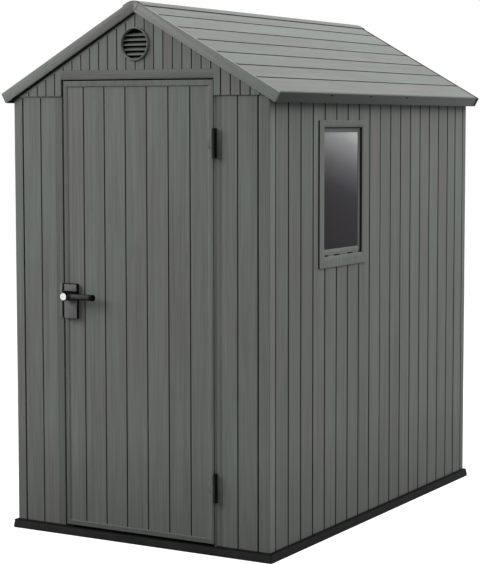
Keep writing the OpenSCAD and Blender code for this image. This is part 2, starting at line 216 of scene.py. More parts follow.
def turnedChrome(name, centre):
    # Bright turned face with fine rings round its middle
    material, tree, shader = startMaterial(name)
    place = addNode(tree, "TexCoord").outputs["Object"]
    offset = vectorNode(tree, "SUBTRACT", {0: place, 1: (centre.x, 0, centre.z)})
    flat = vectorNode(tree, "MULTIPLY", {0: offset, 1: (1, 0, 1)})
    radius = addNode(tree, "VectorMath", {0: flat}, operation="LENGTH").outputs["Value"]
    rings = mathNode(tree, "SINE", mathNode(tree, "MULTIPLY", radius, 9000.0))
    scratch = noiseOf(tree, place, 260.0, 5, 0.7)
    shader.inputs["Metallic"].default_value = 1.0
    colour = addNode(tree, "ValToRGB", {"Fac": scratch})
    colour.color_ramp.elements[0].color = (0.48, 0.48, 0.48, 1)
    colour.color_ramp.elements[1].color = (0.78, 0.78, 0.77, 1)
    rough = spread(tree, scratch, 0.22, 0.38, 0.3, 0.7)
    dressShader(tree, shader, colour.outputs[0], rough, rings, 0.25, 0.00004)
    return material


paneLook = {
    "lean": 0.07,          # how far the painted reflection climbs from one side of the pane to the other
    "drift": 0.03,         # unevenness of the painted reflection
    "stops": [(0.0, (0.066, 0.063, 0.0675)), (0.30, (0.063, 0.060, 0.0645)), (0.44, (0.066, 0.0635, 0.068)),
              (0.50, (0.072, 0.069, 0.075)), (0.57, (0.096, 0.093, 0.101)), (0.64, (0.121, 0.118, 0.127)),
              (0.71, (0.156, 0.153, 0.163)), (0.775, (0.208, 0.204, 0.216)), (0.845, (0.27, 0.266, 0.278)),
              (0.91, (0.34, 0.337, 0.346)), (1.0, (0.52, 0.52, 0.525))],     # from the foot to the top
    "gloss": 0.0,
}


def paintedReflectionPane(name, low, high):
    # Pane with a painted reflection: pale at the top, fading out towards the foot
    material, tree, shader = startMaterial(name)
    lean, drift = paneLook["lean"], paneLook["drift"]
    place = addNode(tree, "TexCoord").outputs["Object"]
    parts = addNode(tree, "SeparateXYZ", {0: place})
    cloud = noiseOf(tree, place, 3.0, 3, 0.5, (1, 1, 0.6))
    level = chain(tree, "ADD", spread(tree, parts.outputs["Z"], 0.0, 1.0, low.z, high.z),
                  spread(tree, parts.outputs["Y"], -lean, lean, low.y, high.y),
                  spread(tree, cloud, -drift, drift, 0.3, 0.7))
    ramp = addNode(tree, "ValToRGB", {"Fac": level})
    stops = ramp.color_ramp.elements
    stops[0].color, stops[1].color = (*paneLook["stops"][0][1], 1), (*paneLook["stops"][-1][1], 1)
    for position, colour in paneLook["stops"][1:-1]:
        stops.new(position).color = (*colour, 1)
    streak = noiseOf(tree, place, 1.0, 4, 0.6, (40, 160, 9))
    dressShader(tree, shader, ramp.outputs[0], spread(tree, streak, 0.16, 0.28, 0.3, 0.7),
                noiseOf(tree, place, 5.0, 2, 0.4), 0.2, 0.0006, paneLook["gloss"])
    return material


# Colour, roughness, gloss, then depth and fineness of the texture, and wear
mouldedLook = {
    "baseResin": ((0.0190, 0.0187, 0.0194), 0.75, 0.04, 0.0003, 420.0, 0.3),
    # black for real seals, clips and mesh, and for strips of painted shade and shadow
    "rubberAndShadeBlack": ((0.006, 0.006, 0.006), 0.75, 0.05, 0.0001),
    # black web that paints the shade in the hinges' recess
    "hingeShadeBlack": ((0.007, 0.007, 0.0072), 0.5, 0.08),
    "hingeKnuckleGrey": ((0.140, 0.147, 0.140), 0.55, 0.08),
    "hingePlateGrey": ((0.135, 0.142, 0.135), 0.55, 0.12),
    "lockGrey": ((0.134, 0.128, 0.131), 0.55, 0.14, 0.0001, 1100.0),
    "lockBlack": ((0.004, 0.004, 0.004), 0.6, 0.02),
    "leverBlack": ((0.010, 0.010, 0.0103), 0.5, 0.03),
    # paler band that paints the lever's sheen
    "leverGrip": ((0.052, 0.052, 0.053), 0.6, 0.05),
}
wallFinish = grainedResin("wallResin", resinLook["wall"], shadedFoot=True)
roofFinish = grainedResin("roofResin", resinLook["roof"])
vergeFinish = grainedResin("vergeResin", resinLook["verge"], resinLook["vergeMottle"])
fasciaFinish = grainedResin("fasciaResin", resinLook["fascia"])
(baseFinish, rubberAndShadeFinish, hingeShadeFinish, knuckleFinish, plateFinish, lockFinish, bodyFinish, leverFinish,
 sheenFinish) = (mouldedFinish(name, *look) for name, look in mouldedLook.items())
# The part's material slot that each finish belongs to
slotOf = {
    "wallResin": "wall_resin", "roofResin": "roof_resin", "vergeResin": "roof_resin",
    "fasciaResin": "trim_resin", "baseResin": "base_resin", "windowPane": "window_pane",
    "hingeShadeBlack": "hinge_black", "hingeKnuckleGrey": "hinge_black", "hingePlateGrey": "hinge_black",
    "lockGrey": "lock_grey", "lockChrome": "lock_chrome", "lockBlack": "lever_black",
    "leverBlack": "lever_black", "leverGrip": "lever_black", "rubberAndShadeBlack": "lever_black",
}
print("finishes ready")

sharpEdge = math.radians(35)     # steeper edges stay sharp
bevelEdge = math.radians(32)     # steeper edges are rounded where a piece has a bevel


def newShape():
    shape = bmesh.new()
    shape.faces.layers.float.new("boardTone")
    shape.faces.layers.float.new("groove")
    shape.loops.layers.uv.new("grain")
    return shape


def addFace(shape, corners, tone=0.5, groove=0.0):
    # groove runs from -1, a painted highlight, to 1, painted shade as dark as the bottom of a groove
    if len(set(corners)) < 3:
        return
    face = shape.faces.new(corners)
    face[shape.faces.layers.float["boardTone"]] = tone
    face[shape.faces.layers.float["groove"]] = groove


def mapGrain(shape, along):
    # Second axis of the map runs along the grain, the first across it, both in metres
    along = Vector(along).normalized()
    grain = shape.loops.layers.uv["grain"]
    for face in shape.faces:
        across = face.normal.cross(along)
        if across.length < 0.2:
            across, second = along.orthogonal().normalized(), along.cross(along.orthogonal()).normalized()
        else:
            across, second = across.normalized(), along
        for loop in face.loops:
            loop[grain].uv = (loop.vert.co.dot(across), loop.vert.co.dot(second))


def meshFrom(shape, name):
    mesh = bpy.data.meshes.new(name)
    shape.to_mesh(mesh)
    shape.free()
    piece = bpy.data.objects.new(name, mesh)
    scene.collection.objects.link(piece)
    return piece


def bakeModifiers(piece):
    graph = bpy.context.evaluated_depsgraph_get()
    mesh = bpy.data.meshes.new_from_object(piece.evaluated_get(graph), preserve_all_data_layers=True,
                                           depsgraph=graph)
    old = piece.data
    piece.modifiers.clear()
    piece.data = mesh
    bpy.data.meshes.remove(old)
    mesh.name = piece.name


def finishPiece(shape, name, finish, body, stands=(), along=(0, 0, 1), bevel=0.0, slotName=None):
    bmesh.ops.remove_doubles(shape, verts=shape.verts, dist=1e-6)
    bmesh.ops.recalc_face_normals(shape, faces=shape.faces)
    shape.normal_update()
    mapGrain(shape, along)
    piece = meshFrom(shape, name)
    piece.data.materials.append(finish)
    piece.data.shade_smooth()
    if bevel:
        edge = piece.modifiers.new("roundedEdges", "BEVEL")
        edge.width, edge.segments, edge.limit_method, edge.angle_limit = bevel, 2, "ANGLE", bevelEdge
        bakeModifiers(piece)
    piece.data.set_sharp_from_angle(angle=sharpEdge)
    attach(piece, body)
    if stands:
        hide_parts(*stands)
    slotName or slotOf[finish.name]
    return piece


def cutWith(piece, shape):
    # Takes the shape out of the piece
    bmesh.ops.recalc_face_normals(shape, faces=shape.faces)
    cutter = meshFrom(shape, "cutter")
    hole = piece.modifiers.new("hole", "BOOLEAN")
    hole.object, hole.solver = cutter, "EXACT"
    bakeModifiers(piece)
    old = cutter.data
    bpy.data.objects.remove(cutter)
    bpy.data.meshes.remove(old)
    piece.data.set_sharp_from_angle(angle=sharpEdge)


def neighbours(rows, closed):
    return list(zip(rows, rows[1:])) + ([(rows[-1], rows[0])] if closed else [])


def loft(shape, rings, closed=False, tone=0.5, mark=0.0, capMark=0.0):
    # Skins a row of rings, each a closed list of points; mark is the faces' painted shade value, or gives it
    rows = [[shape.verts.new(p) for p in ring] for ring in rings]
    for step, (low, high) in enumerate(neighbours(rows, closed)):
        for i in range(len(low)):
            k = (i + 1) % len(low)
            dark = mark(step, i) if callable(mark) else mark
            addFace(shape, [low[i], low[k], high[k], high[i]], tone, dark)
    if not closed:
        addFace(shape, rows[0][::-1], tone, capMark)
        addFace(shape, rows[-1], tone, capMark)


def alongX(u, d, t):     # an outline of (y, z) points that runs along x
    return Vector((t, u, d))


def alongY(u, d, t):     # an outline of (x, z) points that runs along y
    return Vector((u, t, d))


def alongZ(u, d, t):     # an outline of (x, y) points that runs along z
    return Vector((u, d, t))


def prism(shape, outline, place, low, high, tone=0.5, mark=0.0, capMark=0.0):
    rings = [[place(u, d, t) for u, d in outline] for t in (low, high)]
    loft(shape, rings, tone=tone, mark=mark, capMark=capMark)


def boxShape(shape, low, high, dark=0.0):
    low, high = Vector(low), Vector(high)
    outline = [(low.x, low.y), (high.x, low.y), (high.x, high.y), (low.x, high.y)]
    prism(shape, outline, alongZ, low.z, high.z, mark=dark, capMark=dark)


def prismPiece(name, finish, outline, place, low, high, stands=(), along=(0, 0, 1), bevel=0.0, **marks):
    shape = newShape()
    prism(shape, outline, place, low, high, **marks)
    return finishPiece(shape, name, finish, "shell", stands, along, bevel)


def boxPiece(name, finish, body, boxes, dark=0.0, **more):
    shape = newShape()
    for low, high in boxes:
        boxShape(shape, low, high, dark)
    return finishPiece(shape, name, finish, body, **more)


def roundedBox(u0, u1, v0, v1, radii, steps):
    # Rectangle with a radius at each corner, from the top right one round by the left
    points = []
    for (u, v, start), r in zip(((u1, v1, 0), (u0, v1, 90), (u0, v0, 180), (u1, v0, 270)), radii):
        cu, cv = (u - r if u == u1 else u + r), (v - r if v == v1 else v + r)
        for i in range(steps + 1):
            a = math.radians(start + 90 * i / steps)
            points.append((cu + r * math.cos(a), cv + r * math.sin(a)))
    return points


def lathe(shape, profile, centre, axis, steps, closed=False):
    # Turns (radius, along) points round an axis; a radius of 0 closes an end
    axis = Vector(axis).normalized()
    side = axis.orthogonal().normalized()
    other = axis.cross(side)
    turns = [2 * math.pi * i / steps for i in range(steps)]
    rows = []
    for radius, along in profile:
        middle = centre + axis * along
        if radius < 1e-9:
            rows.append([shape.verts.new(middle)] * steps)
            continue
        rows.append([shape.verts.new(middle + (side * math.cos(a) + other * math.sin(a)) * radius)
                     for a in turns])
    for low, high in neighbours(rows, closed):
        for i in range(steps):
            k = (i + 1) % steps
            ring = []
            for v in (low[i], low[k], high[k], high[i]):
                if v not in ring:
                    ring.append(v)
            addFace(shape, ring)


boardCut = {
    "width": 0.0050,      # width of the groove between two boards
    "depth": 0.0050,
    "floor": 0.28,        # half of the groove's floor, as a share of its width
    "jointWidth": 0.0062, # groove where two panels or a panel and a post meet
    "jointDepth": 0.0090,
    "jointFloor": 0.22,
    "lip": 0.0008,        # rounding of the cut ends
    "footLine": 0.0052,   # line of painted shade where a wall stands on the base
}


def boardLine(start, stop, joints, dice, ends=(True, True), cut=None, breaks=(), strips=()):
    # Face line of a panel: (across, depth) points, and (tone, painted shade) for each stretch between them
    width, depth = cut or (boardCut["width"], boardCut["depth"])
    half, floor = width / 2, width * boardCut["floor"]
    jointWidth, jointDepth = boardCut["jointWidth"], boardCut["jointDepth"]
    jointHalf, jointFloor = jointWidth * 0.5, jointWidth * boardCut["jointFloor"]
    points, stretches = [], []

    def move(u, d, tone, groove):
        points.append((u, d))
        stretches.append((tone, groove))

    tone = dice.random()
    if ends[0]:
        points.append((start, -jointDepth))
        move(start + jointFloor, -jointDepth, tone, 1.0)
        move(start + jointHalf, 0.0, tone, 1.0)
    else:
        points.append((start, 0.0))
    # the grooves' faces get full painted shade
    for g in joints:
        move(g - half, 0.0, tone, 0.0)
        move(g - floor, -depth, tone, 1.0)
        move(g + floor, -depth, tone, 1.0)
        tone = dice.random()
        move(g + half, 0.0, tone, 1.0)
    if ends[1]:
        move(stop - jointHalf, 0.0, tone, 0.0)
        move(stop - jointFloor, -jointDepth, tone, 1.0)
        move(stop, -jointDepth, tone, 1.0)
    else:
        move(stop, 0.0, tone, 0.0)
    for b in list(breaks) + [edge for strip in strips for edge in strip[:2]]:
        for i in range(len(points) - 1):
            (u0, d0), (u1, d1) = points[i], points[i + 1]
            if u0 + 1e-7 < b < u1 - 1e-7:
                points.insert(i + 1, (b, d0 + (d1 - d0) * (b - u0) / (u1 - u0)))
                stretches.insert(i, stretches[i])
                break
    for low, high, dark in strips:       # flat stretches with painted shade, or a painted highlight below 0
        for i, (tone, groove) in enumerate(stretches):
            middle = (points[i][0] + points[i + 1][0]) / 2
            if low < middle < high and (groove < dark or dark < 0.0 <= groove < 0.5):
                stretches[i] = (tone, dark)
    return points, stretches


def boardPanel(shape, line, place, lowAt, highAt, thick, backFrom=None, footLine=0.0):
    # Solid panel with the face line in front and a flat back
    points, stretches = line
    lip = boardCut["lip"]
    rows = []
    for u, d in points:
        low, high = lowAt(u), highAt(u)
        back = u if backFrom is None else max(u, backFrom)
        row = [place(u, d - lip, low), place(u, d, low + lip)]
        if footLine:
            row.append(place(u, d, low + footLine))
        row += [place(u, d, high - lip), place(u, d - lip, high)]
        row += [place(back, -thick, high), place(back, -thick, low)]
        rows.append([shape.verts.new(p) for p in row])
    face = 4 if footLine else 3          # the first faces of a stretch are the front ones
    for i, (tone, groove) in enumerate(stretches):
        a, b = rows[i], rows[i + 1]
        for k in range(len(a)):
            m = (k + 1) % len(a)
            # painted shade on the grooves' faces and along the foot
            dark = 1.0 if footLine and k < 2 else (groove if k < face else 0.0)
            addFace(shape, [a[k], b[k], b[m], a[m]], tone, dark)
    addFace(shape, rows[0][::-1], stretches[0][0])
    addFace(shape, rows[-1], stretches[-1][0])


def lowOf(node):
    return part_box(node)[0]


def highOf(node):
    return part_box(node)[1]


frontFace = lowOf("front_panel_left").y
backFace = highOf("back_panel_left").y
sideFace = highOf("side_right_front").x
wallThick = highOf("front_panel_left").y - frontFace
baseTop = highOf("base_floor").z
seamZ = highOf("front_panel_left").z
gableFace = lowOf("gable_front").y
gableBackFace = highOf("gable_back").y
openX = highOf("door_header").x
headerLow, headerHigh = lowOf("door_header").z, highOf("door_header").z
jambLow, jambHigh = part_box("hinge_jamb")
tuck = 0.001             # how far a trim reaches into what carries it
smallRound = 0.0006      # rounded edges of small trims
shadeProud = 0.0006       # how far a thin black strip of painted shade stands out

# The two slopes and the rounded ridge between them
slopeLook = {"degrees": 29.1, "thick": 0.025, "seatGap": 0.0001,
             "crest": 0.64,       # reach of the rounded ridge as a share of the cap's width
             "capWidth": 0.054, "capThick": 0.003}
pitch = math.radians(slopeLook["degrees"])
roofThick, seatGap = slopeLook["thick"], slopeLook["seatGap"]
capWidth, capThick = slopeLook["capWidth"], slopeLook["capThick"]
underApex = highOf("gable_front").z + seatGap
apexZ = underApex + roofThick / math.cos(pitch)      # where the two slopes would meet
slopeLength = highOf("fascia_right").x / math.cos(pitch)
crestRadius = slopeLook["crest"] * capWidth / math.tan(pitch)
crestReach = crestRadius * math.tan(pitch)


def onFront(y):
    return lambda u, d, t: Vector((u, y - d, t))


def onBack(y):
    return lambda u, d, t: Vector((u, y + d, t))


def onSide(side):
    return lambda u, d, t: Vector((side * (sideFace + d), u, t))


def underRoof(u):
    return underApex - seatGap - abs(u) * math.tan(pitch)


def sideTop(u):
    return underRoof(sideFace)


def baseLine(u):
    return baseTop


def seamLine(u):
    return seamZ


# Front wall
frontBoards = {
    "left": [-0.4479],                 # groove left of the door
    "right": [0.4437],                 # groove between the jamb and the corner post
    "gablePitch": 0.0417,
    "gableCut": (0.0042, 0.0040),      # width and depth of the gable's grooves
    "cornerRound": 0.007,
    "cornerShine": (-0.25, -0.25, -0.55, -0.62, -0.60, -0.50, -0.36),   # painted highlight on the bend and flank of the posts
    "shadedStrip": (0.032, 0.30),            # width and painted shade of the strip left of the door
    "jambShine": [(0.0004, 0.009, -0.75), (0.009, 0.016, -0.30)],   # from, to and painted highlight beside the door
    # painted shade on the rest of the jamb
    "jambPlain": 0.14,
    "jambEdge": (0.003, 0.35),         # width and painted shade along the jamb's far edge
}


def cornerPost(name, side, back, width, node):
    # Angle post with a rounded corner, grooved where the panels meet it; painted shade and highlight on it
    depth = highOf("post_front_left").y - frontFace
    half, deep = boardCut["jointWidth"] / 2, boardCut["jointDepth"]
    floor = boardCut["jointWidth"] * boardCut["jointFloor"]
    r = frontBoards["cornerRound"]
    outline = [(-width, -deep), (-width + floor, -deep), (-width + half, 0.0)]
    outline += [(-r + r * math.sin(a), -r + r * math.cos(a)) for a in (math.pi / 2 * i / 6 for i in range(7))]
    last = len(outline)
    flank = [(0.0, -depth + half), (-deep, -depth + floor), (-deep, -depth)]
    outline += flank + [(-wallThick, -depth), (-wallThick, -wallThick), (-width, -wallThick)]
    edge, turn = (backFace, -1) if back else (frontFace, 1)
    place = lambda u, d, t: Vector((side * (sideFace + u), edge - turn * d, t))
    shine = frontBoards["cornerShine"]

    def mark(step, i):
        if step == 0 or i in (0, 1, last, last + 1):
            return 1.0
        return shine[i - 3] if 3 <= i < 3 + len(shine) and not back else 0.0

    shape = newShape()
    levels = (baseTop, baseTop + boardCut["footLine"], seamZ)
    loft(shape, [[place(u, d, t) for u, d in outline] for t in levels],
         tone=random.Random(name).random(), mark=mark)
    upper = [(-wallThick, -wallThick), (0.0, -wallThick)] + flank + [(-wallThick, -depth)]
    prism(shape, upper, place, seamZ, sideTop(0), mark=lambda step, i: 1.0 if i in (2, 3) else 0.0)
    finishPiece(shape, name, wallFinish, "shell", [node])


def flatPanel(name, node, face, u0, u1, joints, high, low=baseLine, ends=(True, True), **more):
    shape = newShape()
    footLine = boardCut["footLine"] if low is baseLine else 0.0
    line = boardLine(u0, u1, joints, random.Random(name), ends, **more)
    boardPanel(shape, line, onFront(face) if face < 0 else onBack(face), low, high,
               wallThick + (abs(face) - abs(backFace)), footLine=footLine)
    finishPiece(shape, name, wallFinish, "shell", [node])


postWidth = sideFace + highOf("post_front_left").x
postRight = sideFace - lowOf("post_front_right").x
for end in ("Front", "Back"):
    for name, side in (("Left", -1), ("Right", 1)):
        wide = postRight if end + name == "FrontRight" else postWidth
        cornerPost("post" + end + name, side, end == "Back", wide, "post_" + end.lower() + "_" + name.lower())

# Painted shade on a strip of the left panel beside the door
shadedStrip, stripShade = frontBoards["shadedStrip"]
flatPanel("frontPanelLeft", "front_panel_left", frontFace, -sideFace + postWidth, -openX, frontBoards["left"],
          seamLine, ends=(True, False), strips=[(-openX - shadedStrip, -openX, stripShade)])
flatPanel("frontPanelRight", "front_panel_right", frontFace, jambHigh.x, sideFace - postRight,
          frontBoards["right"], seamLine, ends=(False, True))

# Hinge jamb with painted highlights beside the door and painted shade on the rest
shape = newShape()
edgeWide, edgeShade = frontBoards["jambEdge"]
strips = [(jambHigh.x - edgeWide, jambHigh.x, edgeShade)]
strips += [(jambLow.x + low, jambLow.x + high, shade) for low, high, shade in frontBoards["jambShine"]]
strips.append((strips[-1][1], jambHigh.x - edgeWide, frontBoards["jambPlain"]))
boardPanel(shape, boardLine(jambLow.x, jambHigh.x, [], random.Random(3), (False, False), strips=strips),
           onFront(jambLow.y), baseLine, seamLine, jambHigh.y - jambLow.y, footLine=boardCut["footLine"])
finishPiece(shape, "hingeJamb", wallFinish, "shell", ["hinge_jamb"])

# Trims round the opening: a fillet that softens the seam on the lock's side, a lip that closes the gap
# above the hinge jamb, and a wedge with a painted highlight that closes most of the gap beside the door's lip
trim = {
    "filletFall": 0.0065, "filletIn": 0.003, "filletGap": 0.004, "proud": 0.0004,
    "lip": 0.0013, "lipIn": 0.005, "overlap": 0.0005,
    "wedgeOver": 0.0014, "wedgeEdge": -0.0002, "wedgeOut": 0.0066, "wedgeFoot": 0.0050, "wedgeIn": 0.002,
    "wedgeProud": 0.0002, "wedgeShade": -0.45, "edge": 0.0005,
}
shape = newShape()
filletTop, filletFoot = seamZ + trim["proud"], seamZ - trim["filletFall"]
filletIn = frontFace + trim["filletIn"]
prism(shape, [(gableFace + trim["proud"], filletTop), (frontFace, filletFoot), (filletIn, filletFoot),
              (filletIn, filletTop)], alongX, -sideFace + trim["filletGap"], -openX)
boxShape(shape, (openX - trim["lip"], gableFace, seamZ - trim["overlap"]),
         (openX + trim["overlap"], gableFace + trim["lipIn"], headerLow + trim["overlap"]))
wedgeX, wedgeY = jambLow.x - trim["wedgeOver"], jambLow.y - trim["wedgeOut"]
wedgeFoot, wedgeIn = jambLow.x + trim["wedgeFoot"], jambLow.y + trim["wedgeIn"]
prism(shape, [(wedgeX, wedgeIn), (wedgeX, wedgeY), (jambLow.x + trim["wedgeEdge"], wedgeY),
              (wedgeFoot, jambLow.y - trim["wedgeProud"]), (wedgeFoot, wedgeIn)],
      alongZ, jambLow.z + tuck, seamZ - tuck, mark=trim["wedgeShade"])
finishPiece(shape, "openingLip", wallFinish, "shell", bevel=trim["edge"])

# Header with a small undercut, flush with the gable, with painted shade on the undercut and underside
headerLook = {"undercut": [(0.001, 0.0), (0.0005, 0.0035), (0.0, 0.0045)],   # (inward, upward) points
              "footShade": 0.25}
headY, headBack = lowOf("door_header").y, highOf("door_header").y
prismPiece("doorHeader", wallFinish,
           [(headY + inward, headerLow + up) for inward, up in headerLook["undercut"]]
           + [(headY, headerHigh), (headBack, headerHigh), (headBack, headerLow)], alongX, -openX, openX,
           ["door_header"], (1, 0, 0), mark=lambda step, i: {0: headerLook["footShade"], 5: 1.0}.get(i, 0.0))

# Stops that the leaf closes towards, as dark weather strips
for name in ("left", "right", "head"):
    node = frame["nodes"]["stop_" + name]
    node.data.materials.clear()
    node.data.materials.append(rubberAndShadeFinish)

gablePitch, gableCut = frontBoards["gablePitch"], frontBoards["gableCut"]


def gableJoints(first, last):
    return [gablePitch * k for k in range(first, last + 1)]


flatPanel("gableFront", "gable_front", gableFace, -openX, openX, gableJoints(-8, 8), underRoof,
          lambda u: headerHigh, (False, False), breaks=[0.0], cut=gableCut)
# The right-hand shoulder has the walls' own grooves
for name, start, stop, joints, cut in (("Left", -sideFace, -openX, gableJoints(-13, -9), gableCut),
                                       ("Right", openX, sideFace, gableJoints(9, 13), None)):
    flatPanel("gableShoulder" + name, "gable_front_" + name.lower(), gableFace, start, stop, joints,
              underRoof, seamLine, (False, False), cut=cut)
print("front wall built")

# Back wall and side walls
boardPitch = 0.0951
sideCut = (0.0084, 0.0050)       # width and depth of the side walls' grooves
inner = -sideFace + postWidth
flatPanel("backPanelLeft", "back_panel_left", backFace, inner, 0.0,
          [inner + boardPitch * k for k in range(1, 6)], seamLine)
flatPanel("backPanelRight", "back_panel_right", backFace, 0.0, -inner,
          [boardPitch * 0.6 + boardPitch * k for k in range(5)], seamLine)
flatPanel("gableBack", "gable_back", gableBackFace, -sideFace, sideFace, gableJoints(-13, 13), underRoof,
          seamLine, (False, False), breaks=[0.0])

sideStart, jointY = lowOf("side_right_front").y, highOf("side_right_front").y
frontStep = (jointY - sideStart) / 9
frontJoints = [sideStart + frontStep * k for k in range(1, 9)]
backJoints = [jointY + boardPitch * k for k in range(1, 8)]
backJoints.append((backJoints[-1] + highOf("side_right_back").y) / 2)
sidePieces = {}
for name, side in (("Right", 1), ("Left", -1)):
    for end, joints in (("Front", frontJoints), ("Back", backJoints)):
        node = "side_" + name.lower() + "_" + end.lower()
        low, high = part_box(node)
        title = "side" + name + end
        shape = newShape()
        line = boardLine(low.y, high.y, joints, random.Random(title), cut=sideCut)
        boardPanel(shape, line, onSide(side), baseLine, sideTop, wallThick, footLine=boardCut["footLine"])
        sidePieces[title] = finishPiece(shape, title, wallFinish, "shell", [node])
print("side and back walls built")

# Window; each triple is for the sides, the top and the sill
windowLook = {
    "lap": 0.012,                       # how far the face laps over the wall
    "face": (0.037, 0.027, 0.043),      # widths of the face
    "bead": (0.016, 0.019, 0.026),      # widths of the bead inside it
    "pocket": 0.010, "beadThick": 0.003, "rebate": 0.008,
    "pocketRing": (0.0018, 0.0045, 0.00315),    # ring round the pocket's floor, painted dark
    "round": 0.003, "outerRound": 0.004,
    "backEdge": (0.0005, 0.0006),       # small edge against the wall, inward and outward
    "frontEdge": 0.0012, "faceFold": 0.55,
    "innerEdge": (0.0014, 0.0003, 0.0012),       # rounding towards the pocket: its width and two depths
    "pocketLean": 0.0005,
    "beadEdge": (-0.004, -0.004, -0.006), "beadRise": 0.0004, "beadFall": 0.0022,
    "shades": {2: 0.9, 3: 0.9, 6: 0.1, 7: 0.5, 8: 1.0, 9: 1.0, 12: 0.85, 13: 1.0},   # painted shade, by step of the profile
    "sillShade": 0.15,                  # share of the painted shade that is left along the sill
    "drains": [(0.022, 0.048), (0.098, 0.140), (0.212, 0.252), (0.302, 0.317)],   # slots along the sill
    "drainHigh": 0.0048, "drainOut": 0.0035,
    "flankShadeWide": 0.0042, "flankShadeEnds": (0.004, 0.003),
    "catch": (4, 0.0062, 0.0035, 0.018),          # number of ribs, their pitch, height and length
    "catchPlace": (0.024, 0.012, 0.004, 0.0002),  # from the end, below the sill, into the face, behind it
    "cutter": (0.06, 0.03),             # how far the hole's cutter reaches in and out of the wall's face
}
winLow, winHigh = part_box("window_frame")
lap, face, bead = windowLook["lap"], windowLook["face"], windowLook["bead"]
shape = newShape()
cutIn, cutOut = windowLook["cutter"]
boxShape(shape, (sideFace - cutIn, winLow.y + lap, winLow.z + lap),
         (sideFace + cutOut, winHigh.y - lap, winHigh.z - lap))
cutWith(sidePieces["sideRightFront"], shape)


def windowRing(insets, x, r=windowLook["round"], more=(0.0, 0.0, 0.0)):
    # Rounded rectangle in the wall's plane
    side, top, sill = (a + b for a, b in zip(insets, more))
    outline = roundedBox(winLow.y + side, winHigh.y - side, winLow.z + sill, winHigh.z - top, [r] * 4, 3)
    return [Vector((x, y, z)) for y, z in outline]


def even(inset):
    return (inset, inset, inset)


outerRound = windowLook["outerRound"]
faceX = winHigh.x
beadX = faceX - windowLook["pocket"]
glassX = beadX - windowLook["beadThick"]
inside = tuple(a + b for a, b in zip(face, bead))
rebate = even(-windowLook["rebate"])
sillSide = 11        # stretch of each ring along the sill
sillFrom = 6         # first step of the profile that is lit along the sill
backIn, backOut = windowLook["backEdge"]
frontEdge, pocketLean = windowLook["frontEdge"], even(windowLook["pocketLean"])
innerWide, innerHigh, innerLow = windowLook["innerEdge"]
shape = newShape()
loft(shape, [
    windowRing(even(lap), winLow.x),
    windowRing(even(lap), sideFace),
    windowRing(even(backIn), sideFace, outerRound),
    windowRing(even(0.0), sideFace + backOut, outerRound),
    windowRing(even(0.0), faceX - frontEdge, outerRound),
    windowRing(even(frontEdge), faceX, outerRound),
    windowRing([inset * windowLook["faceFold"] for inset in face], faceX, outerRound),
    windowRing(face, faceX - innerHigh, more=even(-innerWide)),
    windowRing(face, faceX - innerLow),
    windowRing(face, beadX, more=pocketLean),
    windowRing(face, beadX, more=windowLook["pocketRing"]),
    windowRing(inside, beadX + windowLook["beadRise"], more=windowLook["beadEdge"]),
    windowRing(inside, beadX - windowLook["beadFall"]),
    windowRing(inside, glassX),
    windowRing(inside, glassX, more=rebate),
    windowRing(inside, winLow.x, more=rebate),
], closed=True, mark=lambda step, i: windowLook["shades"].get(step, 0.0)
     * (windowLook["sillShade"] if i == sillSide and step >= sillFrom else 1.0))
finishPiece(shape, "windowFrame", wallFinish, "shell", ["window_frame"])

sillX, sillY, sillZ = beadX - tuck, winLow.y + face[0], winLow.z + face[2]
# Black strips paint the shade in the drain slots along the sill
boxPiece("sillDrains", rubberAndShadeFinish, "shell",
         [((sillX, sillY + low, sillZ - tuck),
           (beadX + windowLook["drainOut"], sillY + high, sillZ + windowLook["drainHigh"]))
          for low, high in windowLook["drains"]], bevel=smallRound)
flankFoot, flankTop = windowLook["flankShadeEnds"]
# Black strip on the wall along the frame's near flank paints its shadow line
boxPiece("windowSealBead", rubberAndShadeFinish, "shell",
         [((sideFace - tuck, winLow.y - windowLook["flankShadeWide"], winLow.z + flankFoot),
           (sideFace + shadeProud, winLow.y + tuck, winHigh.z - flankTop))])
ribs, ribPitch, ribHigh, ribLong = windowLook["catch"]
ribFrom, ribDown, ribIn, ribOut = windowLook["catchPlace"]
catchY, catchZ = winHigh.y - face[0] - ribFrom, winLow.z + face[2] - ribDown
boxPiece("sillCatch", plateFinish, "shell",      # small ribbed catch at the far end of the sill
         [((faceX - ribIn, catchY - ribLong / 2, catchZ - ribPitch * k),
           (faceX - ribOut, catchY + ribLong / 2, catchZ + ribHigh - ribPitch * k)) for k in range(ribs)],
         bevel=smallRound, slotName="wall_resin")
paneLow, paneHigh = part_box("window_glass")
boxPiece("windowPane", paintedReflectionPane("windowPane", paneLow, paneHigh), "shell", [(paneLow, paneHigh)],
         stands=["window_glass"], bevel=smallRound)
print("window built")

# Roof
roofLook = {
    "firstGroove": 0.1240, "groovePitch": 0.0961, "grooves": 6, "grooveCut": (0.0072, 0.0042),
    "edgeBack": 0.0091,                     # from the fascia's face back to the boards' lower edge
    "backJoint": 0.0160, "backJointDeep": 0.0050,     # joint in front of the back verge, with painted shade
    "backShadeGap": 0.0008, "backShadeDeep": 0.0003,
    "capJoint": 0.0035, "capJointThick": 0.0007, "capJointIn": 0.002,   # black strip of painted shade along the cap's edges
    # rounding of the cap's edge, and the painted shade on it
    "capEdge": 0.0008, "capEdgeShade": 0.9,
}
alongRoof = (0, 1, 0)


def onSlope(s, n, side):
    # Point at s down the slope and n above it
    return (side * (s * math.cos(pitch) + n * math.sin(pitch)),
            apexZ - s * math.sin(pitch) + n * math.cos(pitch))


def onCrest(a, n, side):
    return (side * (crestRadius + n) * math.sin(a),
            apexZ - crestRadius / math.cos(pitch) + (crestRadius + n) * math.cos(a))


def crest(n, side=1):
    # Half of the rounded ridge, from the middle out
    return [onCrest(pitch * i / 8, n, side) for i in range(9)]


